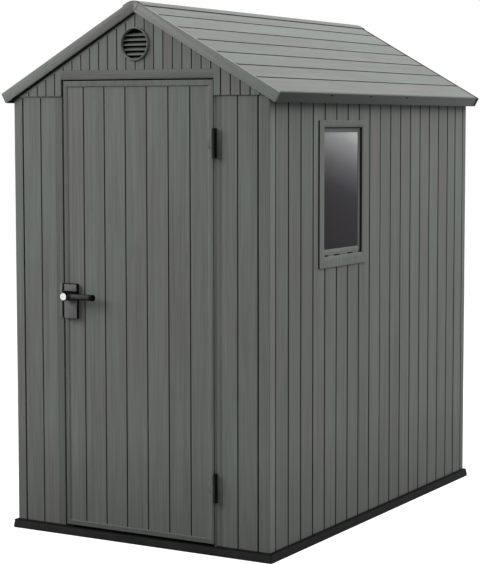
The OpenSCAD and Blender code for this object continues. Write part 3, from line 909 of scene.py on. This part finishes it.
def slopePlace(side):
    def place(u, d, t):
        rounded = u < crestReach and d > -roofThick / 2
        x, z = onCrest(pitch * u / crestReach, d, side) if rounded else onSlope(u, d, side)
        return Vector((x, t, z))
    return place


roofLow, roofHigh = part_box("roof_right")
roofEnd = slopeLength - roofLook["edgeBack"]
roofStop = roofHigh.y - roofLook["backJoint"]
roofJoints = [roofLook["firstGroove"] + roofLook["groovePitch"] * k for k in range(roofLook["grooves"])]
for name, side in (("Left", -1), ("Right", 1)):
    shape = newShape()
    line = boardLine(0.0, roofEnd, roofJoints, random.Random("roof" + name), (False, False),
                     roofLook["grooveCut"], breaks=[crestReach * k / 6 for k in range(1, 7)])
    boardPanel(shape, line, slopePlace(side), lambda u: roofLow.y, lambda u: roofStop, roofThick,
               backFrom=roofThick * math.tan(pitch))
    finishPiece(shape, "roof" + name, roofFinish, "shell", ["roof_" + name.lower()], alongRoof)
    # Strips marked fully dark paint the shade in the joint in front of the back verge
    shape = newShape()
    for n, y in ((-roofLook["backJointDeep"], roofStop),
                 (-roofLook["backShadeDeep"], roofHigh.y - roofLook["backShadeGap"])):
        outline = crest(n, side) + [onSlope(roofEnd, n, side), onSlope(roofEnd, -roofThick, side)]
        outline.append((0.0, underApex))
        prism(shape, outline, alongY, y, roofHigh.y, mark=1.0, capMark=1.0)
    finishPiece(shape, "roofSeal" + name, roofFinish, "shell", along=alongRoof, slotName="lever_black")

capLow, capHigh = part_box("ridge_cap")
jointTop, jointIn = roofLook["capJointThick"], roofLook["capJointIn"]
jointEdge = capWidth + roofLook["capJoint"]
for side, name in ((-1, "Left"), (1, "Right")):
    joint = [onSlope(capWidth - jointIn, seatGap, side), onSlope(jointEdge, seatGap, side),
             onSlope(jointEdge, jointTop, side), onSlope(capWidth - jointIn, jointTop, side)]
    prismPiece("capJoint" + name, rubberAndShadeFinish, joint, alongY, capLow.y + jointIn, capHigh.y - jointIn)

# Ridge cap: two flanks with a rounded peak, and painted shade on their outer edges
capEdge = roofLook["capEdge"]
outer = []
for side in (-1, 1):
    flank = crest(capThick + seatGap, side) + [onSlope(capWidth - capEdge, capThick, side),
                                               onSlope(capWidth, capThick - capEdge, side),
                                               onSlope(capWidth, seatGap, side)]
    outer += flank[::-1] if side < 0 else flank[1:]
outer += crest(seatGap, 1)[::-1] + crest(seatGap, -1)[1:]
darkEdges = (0, len(crest(0)) * 2 + 2)
prismPiece("ridgeCap", roofFinish, outer, alongY, capLow.y, capHigh.y, ["ridge_cap"], alongRoof,
           mark=lambda step, i: roofLook["capEdgeShade"] if i in darkEdges else 0.0)

# Verge boards, mitred at the peak; the shine is painted shade, and a painted highlight below 0
vergeLook = {"deep": 0.041, "bevel": 0.0012,
             "shine": {"front_left": 0.03, "front_right": -0.28, "back_left": 0.0, "back_right": 0.0}}
vergeDeep = vergeLook["deep"]
vergeFoot = apexZ - vergeDeep / math.cos(pitch)
sides = (("left", -1), ("right", 1))
for end in ("front", "back"):
    for name, side in sides:
        node = "verge_" + end + "_" + name
        low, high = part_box(node)
        shine = vergeLook["shine"][end + "_" + name]
        outline = crest(0.0, side) + [onSlope(slopeLength, n, side) for n in (0.0, -vergeDeep)]
        outline.append((0.0, vergeFoot))
        prismPiece("verge" + end.title() + name.title(), vergeFinish, outline, alongY, low.y, high.y, [node],
                   (side * math.cos(pitch), 0, -math.sin(pitch)), vergeLook["bevel"],
                   tone=random.Random(node).random(), mark=shine, capMark=shine)

# Slanting seam where the right-hand verge board laps over the left one
seamLook = {"wide": 0.0016, "lean": 0.024, "bow": 0.005, "proud": 0.0003, "sunk": 0.002,
            "fromFoot": 0.0015, "fromTop": 0.0012}
foot = vergeFoot + seamLook["fromFoot"]
top = apexZ - crestRadius / math.cos(pitch) + crestRadius - seamLook["fromTop"]
left, right = [], []
for i in range(7):
    share = i / 6
    x = seamLook["lean"] * share + seamLook["bow"] * math.sin(math.pi * share)
    z = foot + (top - foot) * share
    left.append((x - seamLook["wide"] / 2, z))
    right.append((x + seamLook["wide"] / 2, z))
seamY = lowOf("verge_front_left").y
prismPiece("peakSeam", rubberAndShadeFinish, left + right[::-1], alongY, seamY - seamLook["proud"],
           seamY + seamLook["sunk"])

# Black strip below each verge board paints its shadow on the gable, with a soft painted shade below the wide
# ones
vergeShadowLook = {
    "shows": {"front_left": 0.0092, "front_right": 0.0022, "back_left": 0.0022, "back_right": 0.0080},
    "out": 0.0008, "shadeOut": 0.0003,
    "overlap": 0.004,        # how far it reaches up behind the board
    "endGap": 0.001,
    "wide": 0.005,           # a strip that shows more than this gets painted shade below it
    "narrowing": 0.4,        # share that it loses towards the peak
    "shades": [(0.0038, 0.55), (0.0034, 0.25)],    # depths and painted shades below the strip
}
endGap = vergeShadowLook["endGap"]
reachX = sideFace - endGap
for end, face, out in (("front", gableFace, -1), ("back", gableBackFace, 1)):
    for name, side in sides:
        shows = vergeShadowLook["shows"][end + "_" + name]
        title = end.title() + name.title()
        rise = shows * vergeShadowLook["narrowing"]

        def under(x, drop):
            return (side * x, apexZ - x * math.tan(pitch) - drop / math.cos(pitch))

        def between(proud):
            return sorted((face + out * proud, face - out * tuck))

        behind = vergeDeep - vergeShadowLook["overlap"]
        prismPiece("vergeSeal" + title, rubberAndShadeFinish,
                   [under(0.0, behind), under(reachX, behind), under(reachX, vergeDeep + shows),
                    under(0.0, vergeDeep + shows - rise)], alongY, *between(vergeShadowLook["out"]))
        if shows < vergeShadowLook["wide"]:
            continue
        shape = newShape()
        drop = vergeDeep + shows
        for deep, shade in vergeShadowLook["shades"]:
            stopX = min(reachX, (apexZ - seamZ - (drop + deep) / math.cos(pitch)) / math.tan(pitch) - endGap)
            stopDrop = drop - rise * (1 - stopX / reachX)
            outline = [under(0.0, drop - rise), under(stopX, stopDrop), under(stopX, stopDrop + deep),
                       under(0.0, drop - rise + deep)]
            prism(shape, outline, alongY, *between(vergeShadowLook["shadeOut"]), mark=shade, capMark=shade)
            drop += deep
        finishPiece(shape, "vergeShade" + title, wallFinish, "shell")

# Eave fascias with their clips, and black strips of painted shade in the gap at their back ends
fasciaLook = {
    "deep": 0.042, "thick": 0.009, "bevel": 0.0012, "endShade": 0.017, "shadeIn": (0.0006, 0.001),
    "clips": 3, "clipFirst": 0.393, "clipStep": 0.331, "clipDown": 0.0085, "clipSize": (0.020, 0.0070),
    "clipRound": 0.001, "clipIn": 0.003, "clipOut": 0.0002,
}
innerEdge = slopeLength - fasciaLook["thick"]


def slopeBox(s0, s1, n0, n1, side):
    return [onSlope(s0, n1, side), onSlope(s1, n1, side), onSlope(s1, n0, side), onSlope(s0, n0, side)]


for name, side in sides:
    low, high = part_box("fascia_" + name)
    stopY = high.y - fasciaLook["endShade"]
    outline = slopeBox(innerEdge, slopeLength, -fasciaLook["deep"], 0.0, side)
    prismPiece("fascia" + name.title(), fasciaFinish, outline, alongY, low.y, stopY, ["fascia_" + name],
               alongRoof, fasciaLook["bevel"])
    edgeIn, topIn = fasciaLook["shadeIn"]
    prismPiece("fasciaSeal" + name.title(), rubberAndShadeFinish,
               slopeBox(innerEdge, slopeLength - edgeIn, -fasciaLook["deep"] + topIn, -topIn, side),
               alongY, stopY, high.y)
    shape = newShape()
    wide, tall = fasciaLook["clipSize"]
    clipLow, clipHigh = -fasciaLook["clipDown"] - tall / 2, -fasciaLook["clipDown"] + tall / 2
    clipIn, clipOut = slopeLength - fasciaLook["clipIn"], slopeLength + fasciaLook["clipOut"]
    outline = [onSlope(clipIn, clipHigh, side), onSlope(clipOut, clipHigh - fasciaLook["clipRound"], side),
               onSlope(clipOut, clipLow + fasciaLook["clipRound"], side), onSlope(clipIn, clipLow, side)]
    for k in range(fasciaLook["clips"]):
        y = frontFace + fasciaLook["clipFirst"] + fasciaLook["clipStep"] * k
        prism(shape, outline, alongY, y - wide / 2, y + wide / 2)
    finishPiece(shape, "fasciaClips" + name.title(), rubberAndShadeFinish, "shell", slotName="hinge_black")
print("roof built")

# Vents
ventLook = {
    "clear": 0.056, "ring": 0.0074, "out": 0.008, "sleeve": 0.006, "thick": 0.004,
    "ringRound": [(0.0, 0.45), (0.0012, 0.8), (0.0030, 1.0)],    # (inward, share of the ring's height)
    "lipRound": [(0.0030, 1.0), (0.0008, 0.72), (0.0, 0.3)],     # (outward from the clear hole, share)
    "slats": 6, "slatPitch": 0.0180, "slatShift": -0.0072, "slatDeep": 0.020, "slatThick": 0.0022,
    "slatFall": (0.0036, 0.0014),    # slope and curl of a blade over half its depth
    "slatBack": 0.0105,              # from the wall's face back to the middle of a blade
    "slatIn": 0.0006,                # how far a blade's ends reach into the sleeve
    # black ring outside the rim and black sleeve inside the hole, painted shade
    "shadeBand": 0.0006, "shadeSleeve": 0.0035, "shadeSleeveEdges": (0.0008, 0.0003),
    "meshDeep": 0.0225, "meshGap": 0.0002, "meshThick": (0.0008, 0.0011),
}
ventZ = (lowOf("vent_front").z + highOf("vent_front").z) / 2
clear = ventLook["clear"]


def slatRings(i, face, out):
    # Cross-sections of a blade, from one side of the hole to the other
    thin = ventLook["slatThick"] / 2
    fall, curl = ventLook["slatFall"]
    z = ventLook["slatPitch"] * (i + 0.5 - ventLook["slats"] / 2) + ventLook["slatShift"]
    rows = [(t * ventLook["slatDeep"] / 2, z + (-fall * t - curl * (t + 1) ** 2 / 2))
            for t in (-1, -0.5, 0, 0.5, 1)]
    blade = [(y, h + thin) for y, h in rows] + [(y, h - thin) for y, h in rows[::-1]]
    wide = (clear + ventLook["slatIn"]) ** 2
    rings = []
    for across in (-1 + 2 * k / 8 for k in range(9)):
        ring = []
        for y, h in blade:
            reach = math.sqrt(max(1e-7, wide - min(h * h, clear * clear * 0.995)))
            ring.append(Vector((across * reach, face + out * (y - ventLook["slatBack"]), ventZ + h)))
        rings.append(ring)
    return rings


def flatRing(shape, inner, outer, start, stop, centre, axis):
    lathe(shape, [(inner, start), (outer, start), (outer, stop), (inner, stop)], centre, axis, 96,
          closed=True)


def ventPiece(name, face, out, node, wall):
    centre, axis = Vector((0, face, ventZ)), (0, out, 0)
    rim, proud, outer = clear + ventLook["ring"], ventLook["out"], clear + ventLook["thick"]
    sleeve = wallThick + ventLook["sleeve"]
    shape = newShape()
    profile = [(outer, 0.0), (rim, 0.0)]
    profile += [(rim - inward, proud * share) for inward, share in ventLook["ringRound"]]
    profile += [(clear + outward, proud * share) for outward, share in ventLook["lipRound"]]
    lathe(shape, profile + [(clear, -sleeve), (outer, -sleeve)], centre, axis, 96, closed=True)
    for i in range(ventLook["slats"]):
        loft(shape, slatRings(i, face, out))
    finishPiece(shape, name, wallFinish, "shell", [node], (1, 0, 0))
    # Insect mesh behind the blades, with black sleeve and ring that paint the shade in the hole and round the
    # rim
    shape = newShape()
    deep, meshEdge = ventLook["meshDeep"], clear - ventLook["meshGap"]
    edgeThick, midThick = ventLook["meshThick"]
    lathe(shape, [(0.0, -deep), (clear * 0.5, -deep), (meshEdge, -deep), (meshEdge, -deep + edgeThick),
                  (clear * 0.5, -deep + midThick), (0.0, -deep + midThick)], centre, axis, 64)
    lineIn, lineOut = ventLook["shadeSleeveEdges"]
    flatRing(shape, clear - lineIn, clear + lineOut, -ventLook["shadeSleeve"], -deep, centre, axis)
    flatRing(shape, rim - tuck, rim + ventLook["shadeBand"], -tuck, shadeProud, centre, axis)
    finishPiece(shape, name + "Mesh", rubberAndShadeFinish, "shell")
    shape = newShape()
    lathe(shape, [(0.0, -0.1), (outer, -0.1), (outer, 0.1), (0.0, 0.1)], centre, axis, 96)
    cutWith(bpy.data.objects[wall], shape)


ventPiece("ventFront", gableFace, -1, "vent_front", "gableFront")
ventPiece("ventBack", gableBackFace, 1, "vent_back", "gableBack")
print("vents built")

# Base with a sloping edge, as (inset, distance below the top), and a black band of painted shade round the
# walls' foot
baseLook = {
    "round": 0.009, "foot": 0.002,
    "edge": [(0.003, 0.006), (0.004, 0.004), (0.0048, 0.001), (0.006, 0.0)],
    "shadeBand": (-0.0030, 0.0006),       # the band's underside and top, from the base's top
    "shadeIn": 0.0048, "shadeUnder": 0.002,
}
footLow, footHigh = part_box("base_floor")


def baseRing(inset, z):
    x, y, r = footHigh.x - inset, footHigh.y - inset, baseLook["round"]
    return [Vector((u, v, z)) for u, v in roundedBox(-x, x, -y, y, [r] * 4, 6)]


shape = newShape()
loft(shape, [baseRing(baseLook["foot"], 0.0), baseRing(0.0, baseLook["foot"])]
     + [baseRing(inset, baseTop - below) for inset, below in baseLook["edge"]])
finishPiece(shape, "baseFloor", baseFinish, "shell", ["base_floor"])

shadeLow, shadeHigh = (baseTop + z for z in baseLook["shadeBand"])
shadeX0, shadeX1 = footLow.x + baseLook["shadeIn"], footHigh.x - baseLook["shadeIn"]
shadeY0, shadeY1 = footLow.y + baseLook["shadeIn"], footHigh.y - baseLook["shadeIn"]
under = baseLook["shadeUnder"]
shadeEdges = [(shadeX0, shadeX1, shadeY0, frontFace + under), (shadeX0, shadeX1, backFace - under, shadeY1),
             (shadeX0, -sideFace + under, frontFace, backFace),
             (sideFace - under, shadeX1, frontFace, backFace)]
boxPiece("footSeal", rubberAndShadeFinish, "shell",
         [((x0, y0, shadeLow), (x1, y1, shadeHigh)) for x0, x1, y0, y1 in shadeEdges], dark=1.0)

# Door
doorLook = {
    "rim": (0.020, 0.0235, 0.020),             # widths at the sides, the head and the foot
    "rimShade": (0.10, 0.16, 0.30, 0.06),      # painted shade on the rim: head, free side, foot, hinged side
    "edgeShade": 0.8,                          # painted shade on the edge of the leaf, but for its hinged side
    "rimEdge": 0.0012, "rimStop": 0.0003,      # rounded edge, and the rim's end in front of the leaf
    "rimSlope": (0.007, 0.0035, 0.0035),       # width of the rim's sloping inner edge
    "firstGroove": -0.2415, "pitch": 0.0965, "grooves": 6,
    "lip": 0.0034,         # how far the lip covers the gap beside the hinges
    "lipFront": 0.0006,    # how far its face lies behind the rim's
    "lipClear": 0.0012,    # gap between the back of the lip and the jamb
    # painted shade on the lip
    "lipShade": 0.12,
}
leafLow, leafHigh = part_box("door_leaf")
rimLow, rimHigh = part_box("door_rim")
shape = newShape()
leafJoints = [doorLook["firstGroove"] + doorLook["pitch"] * k for k in range(doorLook["grooves"])]
boardPanel(shape, boardLine(leafLow.x, leafHigh.x, leafJoints, random.Random("door"), (False, False)),
           onFront(leafLow.y), lambda u: leafLow.z, lambda u: leafHigh.z, leafHigh.y - leafLow.y)
finishPiece(shape, "doorLeaf", wallFinish, "door", ["door_leaf"])


def doorRing(y, side=0.0, top=0.0, foot=0.0):
    left, right = rimLow.x + side, rimHigh.x - side
    return [Vector((right, y, rimHigh.z - top)), Vector((left, y, rimHigh.z - top)),
            Vector((left, y, rimLow.z + foot)), Vector((right, y, rimLow.z + foot))]


def rimMark(step, i):
    return doorLook["edgeShade"] if step == 0 and i < 3 else doorLook["rimShade"][i]


rim, rimEdge = doorLook["rim"], doorLook["rimEdge"]
shape = newShape()
loft(shape, [doorRing(rimHigh.y), doorRing(rimLow.y + rimEdge), doorRing(rimLow.y, rimEdge, rimEdge, rimEdge),
             doorRing(rimLow.y, *(wide - slope for wide, slope in zip(rim, doorLook["rimSlope"]))),
             doorRing(leafLow.y - doorLook["rimStop"], *rim), doorRing(rimHigh.y, *rim)],
     closed=True, mark=rimMark)
finishPiece(shape, "doorRim", wallFinish, "door", ["door_rim"])
boxPiece("doorLip", wallFinish, "door",
         [((rimHigh.x - tuck, rimLow.y + doorLook["lipFront"], rimLow.z),
           (rimHigh.x + doorLook["lip"], jambLow.y - doorLook["lipClear"], rimHigh.z))],
         dark=doorLook["lipShade"], bevel=smallRound)

# Hinges
hingeLook = {
    "plateThick": 0.003, "plateRound": 0.0009,
    "knuckle": 0.0052, "knuckleRound": 0.0008, "knuckleGap": 0.0004, "pin": 0.003, "bore": 0.0034,
    "web": 0.0120, "webGap": 0.0034, "webFront": 0.002,     # black web between the knuckles and the jamb, painting the shade in the hinge's recess
    "webClear": 0.0008, "webBack": 0.0005,
    "screws": (0.16, 0.5, 0.84), "screwRadius": 0.0042, "screwShift": 0.004,
    # Head of a screw as (share of the radius, height)
    "screwHead": [(0.0, -0.001), (1.0, -0.001), (1.0, 0.0004), (0.85, 0.0011), (0.42, 0.0012),
                  (0.38, 0.0003), (0.0, 0.0002)],
    "leafShort": 0.72,       # the moving leaf stops this share of the knuckle's radius before the pin
}


def knuckleProfile(inner, low, high):
    r, edge = hingeLook["knuckle"], hingeLook["knuckleRound"]
    return [(inner, low), (r - edge, low), (r, low + edge), (r, high - edge), (r - edge, high), (inner, high)]


def jointNamed(name):
    return [joint for joint in frame["record"]["behaviour"]["joints"] if joint["name"] == name][0]


hingeAxis = Vector(jointNamed("door_hinge")["pos_m"])
pinLine, up, outward = Vector((hingeAxis.x, hingeAxis.y, 0)), (0, 0, 1), (0, -1, 0)
screwProfile = [(hingeLook["screwRadius"] * share, rise) for share, rise in hingeLook["screwHead"]]
jambY, knuckleR, plateThick = jambLow.y, hingeLook["knuckle"], hingeLook["plateThick"]
webX, webFront = hingeAxis.x + hingeLook["web"], hingeAxis.y - hingeLook["webFront"]
webBack = jambY - hingeLook["webBack"]
for name in ("top", "low"):
    title = name.title()
    jambNode, doorNode = "hinge_" + name + "_jamb", "hinge_" + name + "_door"
    fixedLow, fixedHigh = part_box(jambNode)
    movingLow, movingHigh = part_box(doorNode)
    third = (fixedHigh.z - fixedLow.z) / 3
    thirds = (fixedLow.z, fixedHigh.z - third)        # feet of the two fixed knuckles
    boxPiece("hingePlate" + title, plateFinish, "shell",
             [((openX, jambY - plateThick, fixedLow.z), (fixedHigh.x, jambY, fixedHigh.z))],
             stands=[jambNode], bevel=hingeLook["plateRound"])
    boxPiece("hingeWeb" + title, hingeShadeFinish, "shell",
             [((hingeAxis.x + hingeLook["webGap"], webFront, z), (webX, webBack, z + third)) for z in thirds]
             + [((hingeAxis.x + knuckleR + hingeLook["webClear"], webFront, fixedLow.z + third - tuck),
                 (webX, webBack, fixedHigh.z - third + tuck))])
    shape = newShape()
    for z in thirds:
        lathe(shape, knuckleProfile(0.0, z, z + third - hingeLook["knuckleGap"]), pinLine, up, 32)
    pin, pinLow, pinHigh = hingeLook["pin"], fixedLow.z + tuck, fixedHigh.z - tuck
    lathe(shape, [(0.0, pinLow), (pin, pinLow), (pin, pinHigh), (0.0, pinHigh)], pinLine, up, 24)
    finishPiece(shape, "hingeKnuckles" + title, knuckleFinish, "shell")
    shape = newShape()
    screwX = (openX + fixedHigh.x) / 2 + hingeLook["screwShift"]
    for share in hingeLook["screws"]:
        centre = Vector((screwX, jambY - plateThick, fixedLow.z + 3 * third * share))
        lathe(shape, screwProfile, centre, outward, 20)
    finishPiece(shape, "hingeScrews" + title, plateFinish, "shell")
    boxPiece("hingeLeaf" + title, plateFinish, "door",
             [((movingLow.x, rimLow.y - plateThick, movingLow.z),
               (hingeAxis.x - knuckleR * hingeLook["leafShort"], rimLow.y, movingHigh.z))],
             stands=[doorNode], bevel=hingeLook["plateRound"])
    shape = newShape()
    lathe(shape, knuckleProfile(hingeLook["bore"], movingLow.z, movingHigh.z), pinLine, up, 32, closed=True)
    finishPiece(shape, "hingeBarrel" + title, knuckleFinish, "door")

# Lock
lockLook = {
    "thick": 0.014,                   # from the rim's face to the covers' face
    "bodyBack": 0.0025, "bodyRound": 0.004, "bodyInside": 0.0202,
    "upperCover": (0.0025, 0.0285),   # heights below the plate's top
    "lowerCover": (0.0005, 0.0705),   # heights above the plate's foot
    "coverIn": 0.0045,                # bare black edge left of the covers
    "coverWide": (0.0575, 0.0585),    # upper and lower
    "coverThick": 0.003, "cornerRound": 0.005, "plainCorner": 0.0006, "keeperRound": 0.003,
    "bossRound": 0.0018, "coverBevel": 0.0009, "bodyBevel": 0.0008,
    "discEdge": 0.0012, "discDeep": 0.011,
    "keyRing": (0.0056, 0.0052, 0.0006),         # round the slot: outer and inner radius, depth
    "keySlot": (0.0022, 0.0105), "slotCut": (0.01, 0.0012),
}
plateLow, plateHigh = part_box("lock_plate")
lockCentre = Vector(jointNamed("lever_turn")["pos_m"])
plateFace = rimLow.y - lockLook["thick"]


def coverShape(shape, x0, x1, z0, z1, front, back, r, corners):
    # Flat cover seen from the front; corners says which are rounded, from the top right one round by the left
    radii = [r if rounded else lockLook["plainCorner"] for rounded in corners]
    prism(shape, roundedBox(x0, x1, z0, z1, radii, 5), alongY, back, front)


shape = newShape()
coverShape(shape, plateLow.x, plateHigh.x, plateLow.z, plateHigh.z,
           plateFace + lockLook["bodyBack"], rimLow.y, lockLook["bodyRound"], (1, 0, 0, 1))
boxShape(shape, (rimLow.x + lockLook["bodyInside"], rimLow.y, plateLow.z),
         (plateHigh.x, rimHigh.y, plateHigh.z))
finishPiece(shape, "lockBody", bodyFinish, "door", ["lock_plate"], bevel=lockLook["bodyBevel"])
shape = newShape()
coverLeft, coverBack = plateLow.x + lockLook["coverIn"], plateFace + lockLook["coverThick"]
upperTop, upperFoot = (plateHigh.z - down for down in lockLook["upperCover"])
lowerFoot, lowerTop = (plateLow.z + rise for rise in lockLook["lowerCover"])
upperWide, lowerWide = lockLook["coverWide"]
for wide, z0, z1, corners in ((upperWide, upperFoot, upperTop, (1, 0, 0, 0)),
                              (lowerWide, lowerFoot, lowerTop, (0, 0, 0, 0))):
    coverShape(shape, coverLeft, coverLeft + wide, z0, z1, plateFace, coverBack, lockLook["cornerRound"],
               corners)
finishPiece(shape, "lockCovers", lockFinish, "door", bevel=lockLook["coverBevel"])
keeperLow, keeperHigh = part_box("lock_keeper")
shape = newShape()
coverShape(shape, keeperLow.x, keeperHigh.x, keeperLow.z, keeperHigh.z, keeperLow.y, keeperHigh.y,
           lockLook["keeperRound"], (0, 1, 1, 0))
finishPiece(shape, "lockKeeper", plateFinish, "shell", ["lock_keeper"], bevel=lockLook["coverBevel"],
            slotName="lock_grey")
boxPiece("lockBoss", bodyFinish, "door", [((plateLow.x + tuck, plateLow.y, lowerTop + tuck),
                                           (plateHigh.x - tuck, coverBack, upperFoot - tuck))],
         bevel=lockLook["bossRound"])

# Lever: hub, round arm with a flared tip, and a paler band painting the arm's sheen; rows are (share of the
# reach, radius)
leverLook = {
    "hub": 0.016, "hubGap": 0.0005, "hubRound": (0.0008, 0.0012), "hubWall": 0.0018, "hubHollow": 0.009,
    "flat": 0.88,                     # depth of the arm as a share of its height
    "arm": [(0.05, 0.0122), (0.13, 0.0122), (0.17, 0.0110), (0.2, 0.0122), (0.5, 0.0118), (0.88, 0.0116)],
    "tip": [(0.875, 0.0116), (0.885, 0.0119), (0.9, 0.0125), (0.975, 0.0125), (0.99, 0.0113), (1.0, 0.0089)],
    "sheenFrom": 0.24, "sheenTo": 0.86, "sheenEdge": 0.01, "sheenTurn": (128, 204),    # degrees round the arm
    "sheenRadius": 0.0116, "sheenProud": (0.0002, 0.0008), "sheenSunk": 0.002,
}
leverLow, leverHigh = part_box("door_lever")
hubBack, hubFace = plateLow.y - leverLook["hubGap"], leverLow.y
depth, hub = hubBack - hubFace, leverLook["hub"]
footRound, faceRound = leverLook["hubRound"]
hubIn, hubFloor = hub - leverLook["hubWall"], depth - leverLook["hubHollow"]
shape = newShape()
lathe(shape, [(0.0, 0.0), (hub - footRound, 0.0), (hub, footRound), (hub, depth - faceRound),
              (hub - faceRound, depth), (hubIn, depth), (hubIn, hubFloor), (0.0, hubFloor)],
      Vector((lockCentre.x, hubBack, lockCentre.z)), outward, 64)
finishPiece(shape, "leverHub", bodyFinish, "lever", ["door_lever"])
armY = (hubBack + hubFace) / 2
reach = leverHigh.x - lockCentre.x


def onArm(share, r, a):
    return Vector((lockCentre.x + reach * share, armY + r * leverLook["flat"] * math.cos(a),
                   lockCentre.z + r * math.sin(a)))


def leverPart(name, finish, rings):
    shape = newShape()
    loft(shape, rings)
    finishPiece(shape, name, finish, "lever", along=(1, 0, 0))


turns = [2 * math.pi * i / 32 for i in range(32)]
for name, finish, rows in (("leverArm", leverFinish, "arm"), ("leverTip", bodyFinish, "tip")):
    leverPart(name, finish, [[onArm(share, r, a) for a in turns] for share, r in leverLook[rows]])
fromTurn, toTurn = leverLook["sheenTurn"]
sheenTurns = [math.radians(fromTurn + (toTurn - fromTurn) * i / 10) for i in range(11)]
sheenFrom, sheenTo, sheenEdge = leverLook["sheenFrom"], leverLook["sheenTo"], leverLook["sheenEdge"]
edgeProud, proud = leverLook["sheenProud"]
inner = leverLook["sheenRadius"] - leverLook["sheenSunk"]
sheenRows = [(sheenFrom, edgeProud), (sheenFrom + sheenEdge, proud),
            (sheenTo - sheenEdge, proud), (sheenTo, edgeProud)]
leverPart("leverGrip", sheenFinish,
          [[onArm(share, leverLook["sheenRadius"] + rise, a) for a in sheenTurns]
           + [onArm(share, inner, a) for a in sheenTurns[::-1]] for share, rise in sheenRows])

# Lock's turned disc with its key slot
discLow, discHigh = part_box("lock_cylinder")
discR, front, discEdge = (discHigh.x - discLow.x) / 2, discLow.y, lockLook["discEdge"]
keyOuter, keyInner, keyDeep = lockLook["keyRing"]
discDeep = lockLook["discDeep"]
ringR = discR - discEdge * 3
shape = newShape()
lathe(shape, [(0.0, -discDeep), (discR, -discDeep), (discR, -discEdge), (discR - discEdge, 0.0), (ringR, 0.0),
              (ringR - keyDeep, -keyDeep), (keyOuter, -keyDeep), (keyInner, 0.0), (0.0, 0.0)],
      Vector((lockCentre.x, front, lockCentre.z)), outward, 64)
disc = finishPiece(shape, "lockDisc", turnedChrome("lockChrome", lockCentre), "lever", ["lock_cylinder"])
slotWide, slotHigh = lockLook["keySlot"]
slotOut, slotIn = lockLook["slotCut"]
shape = newShape()
boxShape(shape, (lockCentre.x - slotWide / 2, front - slotOut, lockCentre.z - slotHigh / 2),
         (lockCentre.x + slotWide / 2, front + slotIn, lockCentre.z + slotHigh / 2))
cutWith(disc, shape)
print("door, hinges and lock built")

# Studio
studioLook = {
    "fill": 0.46, "floorHalf": 40.0, "floorDown": 0.0006,
    "floorGlow": 0.80, "floorPaper": 0.50, "floorBounce": 0.12,
    # place, target, size and power of each lamp
    "lamps": {"keyLight": ((-4.9, -4.0, 4.2), (0, -0.3, 1.1), 4.0, 382.0),
              "topLight": ((1.2, 0.3, 6.0), (0.2, 0, 1.5), 5.0, 304.0),
              "backLight": ((3.6, 3.0, 4.2), (0.5, 0.3, 1.2), 2.0, 104.0)},
}


def bareTree(owner):
    owner.use_nodes = True
    owner.node_tree.nodes.clear()
    return owner.node_tree


def bySight(tree, lit, shown):
    # One shader for what is lit, another for what the camera, a reflection or the glass shows
    path = addNode(tree, "LightPath").outputs
    seen = path["Is Camera Ray"]
    for ray in ("Is Glossy Ray", "Is Transmission Ray"):
        seen = mathNode(tree, "MAXIMUM", seen, path[ray])
    return addNode(tree, "MixShader", {0: seen, 1: lit, 2: shown}).outputs[0]


def grey(level):
    return (level, level, level, 1)


world = bpy.data.worlds.new("studio")
scene.world = world
tree = bareTree(world)
fill, white = (addNode(tree, "Background", {"Color": grey(1), "Strength": strength}).outputs[0]
               for strength in (studioLook["fill"], 1.0))
addNode(tree, "OutputWorld", {"Surface": bySight(tree, fill, white)})

floorMesh = bpy.data.meshes.new("floor")
half = studioLook["floorHalf"]
corners = [(-half, -half, 0), (half, -half, 0), (half, half, 0), (-half, half, 0)]
floorMesh.from_pydata(corners, [], [(0, 1, 2, 3)])
floor = bpy.data.objects.new("floor", floorMesh)
scene.collection.objects.link(floor)
floor.location.z = -studioLook["floorDown"]
floor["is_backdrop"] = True
paper = bpy.data.materials.new("floorPaper")
tree = bareTree(paper)
bounce, lit = (addNode(tree, "BsdfDiffuse", {"Color": grey(studioLook[key])}).outputs[0]
               for key in ("floorBounce", "floorPaper"))
glow = addNode(tree, "Emission", {"Color": grey(1), "Strength": studioLook["floorGlow"]}).outputs[0]
shown = addNode(tree, "AddShader", {0: lit, 1: glow}).outputs[0]
addNode(tree, "OutputMaterial", {"Surface": bySight(tree, bounce, shown)})
floorMesh.materials.append(paper)

for name, (place, target, size, power) in studioLook["lamps"].items():
    lamp = bpy.data.lights.new(name, "AREA")
    lamp.shape, lamp.size, lamp.size_y, lamp.energy = "RECTANGLE", size, size, power
    holder = bpy.data.objects.new(name, lamp)
    scene.collection.objects.link(holder)
    holder.location = place
    holder.rotation_euler = (Vector(target) - Vector(place)).to_track_quat("-Z", "Y").to_euler()

# Lens and sensor in millimetres; the shift of the optical centre as shares of the picture's width
cameraLook = {"place": (3.6548, -6.2122, 1.6172), "azimuth": 28.551, "elevation": 4.482, "roll": -0.115,
              "sensor": 36.0, "lens": 127.74975, "shift": (-0.152, -0.05647917)}
camera = bpy.data.cameras.new("camera")
camera.sensor_fit, camera.sensor_width = "HORIZONTAL", cameraLook["sensor"]
camera.lens = cameraLook["lens"]
camera.shift_x, camera.shift_y = cameraLook["shift"]
viewer = bpy.data.objects.new("camera", camera)
scene.collection.objects.link(viewer)
viewer.location = cameraLook["place"]
viewer.rotation_euler = (math.radians(90 - cameraLook["elevation"]), math.radians(cameraLook["roll"]),
                         math.radians(cameraLook["azimuth"]))
scene.camera = viewer
scene.view_settings.view_transform = "Standard"
print("studio ready")

low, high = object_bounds()
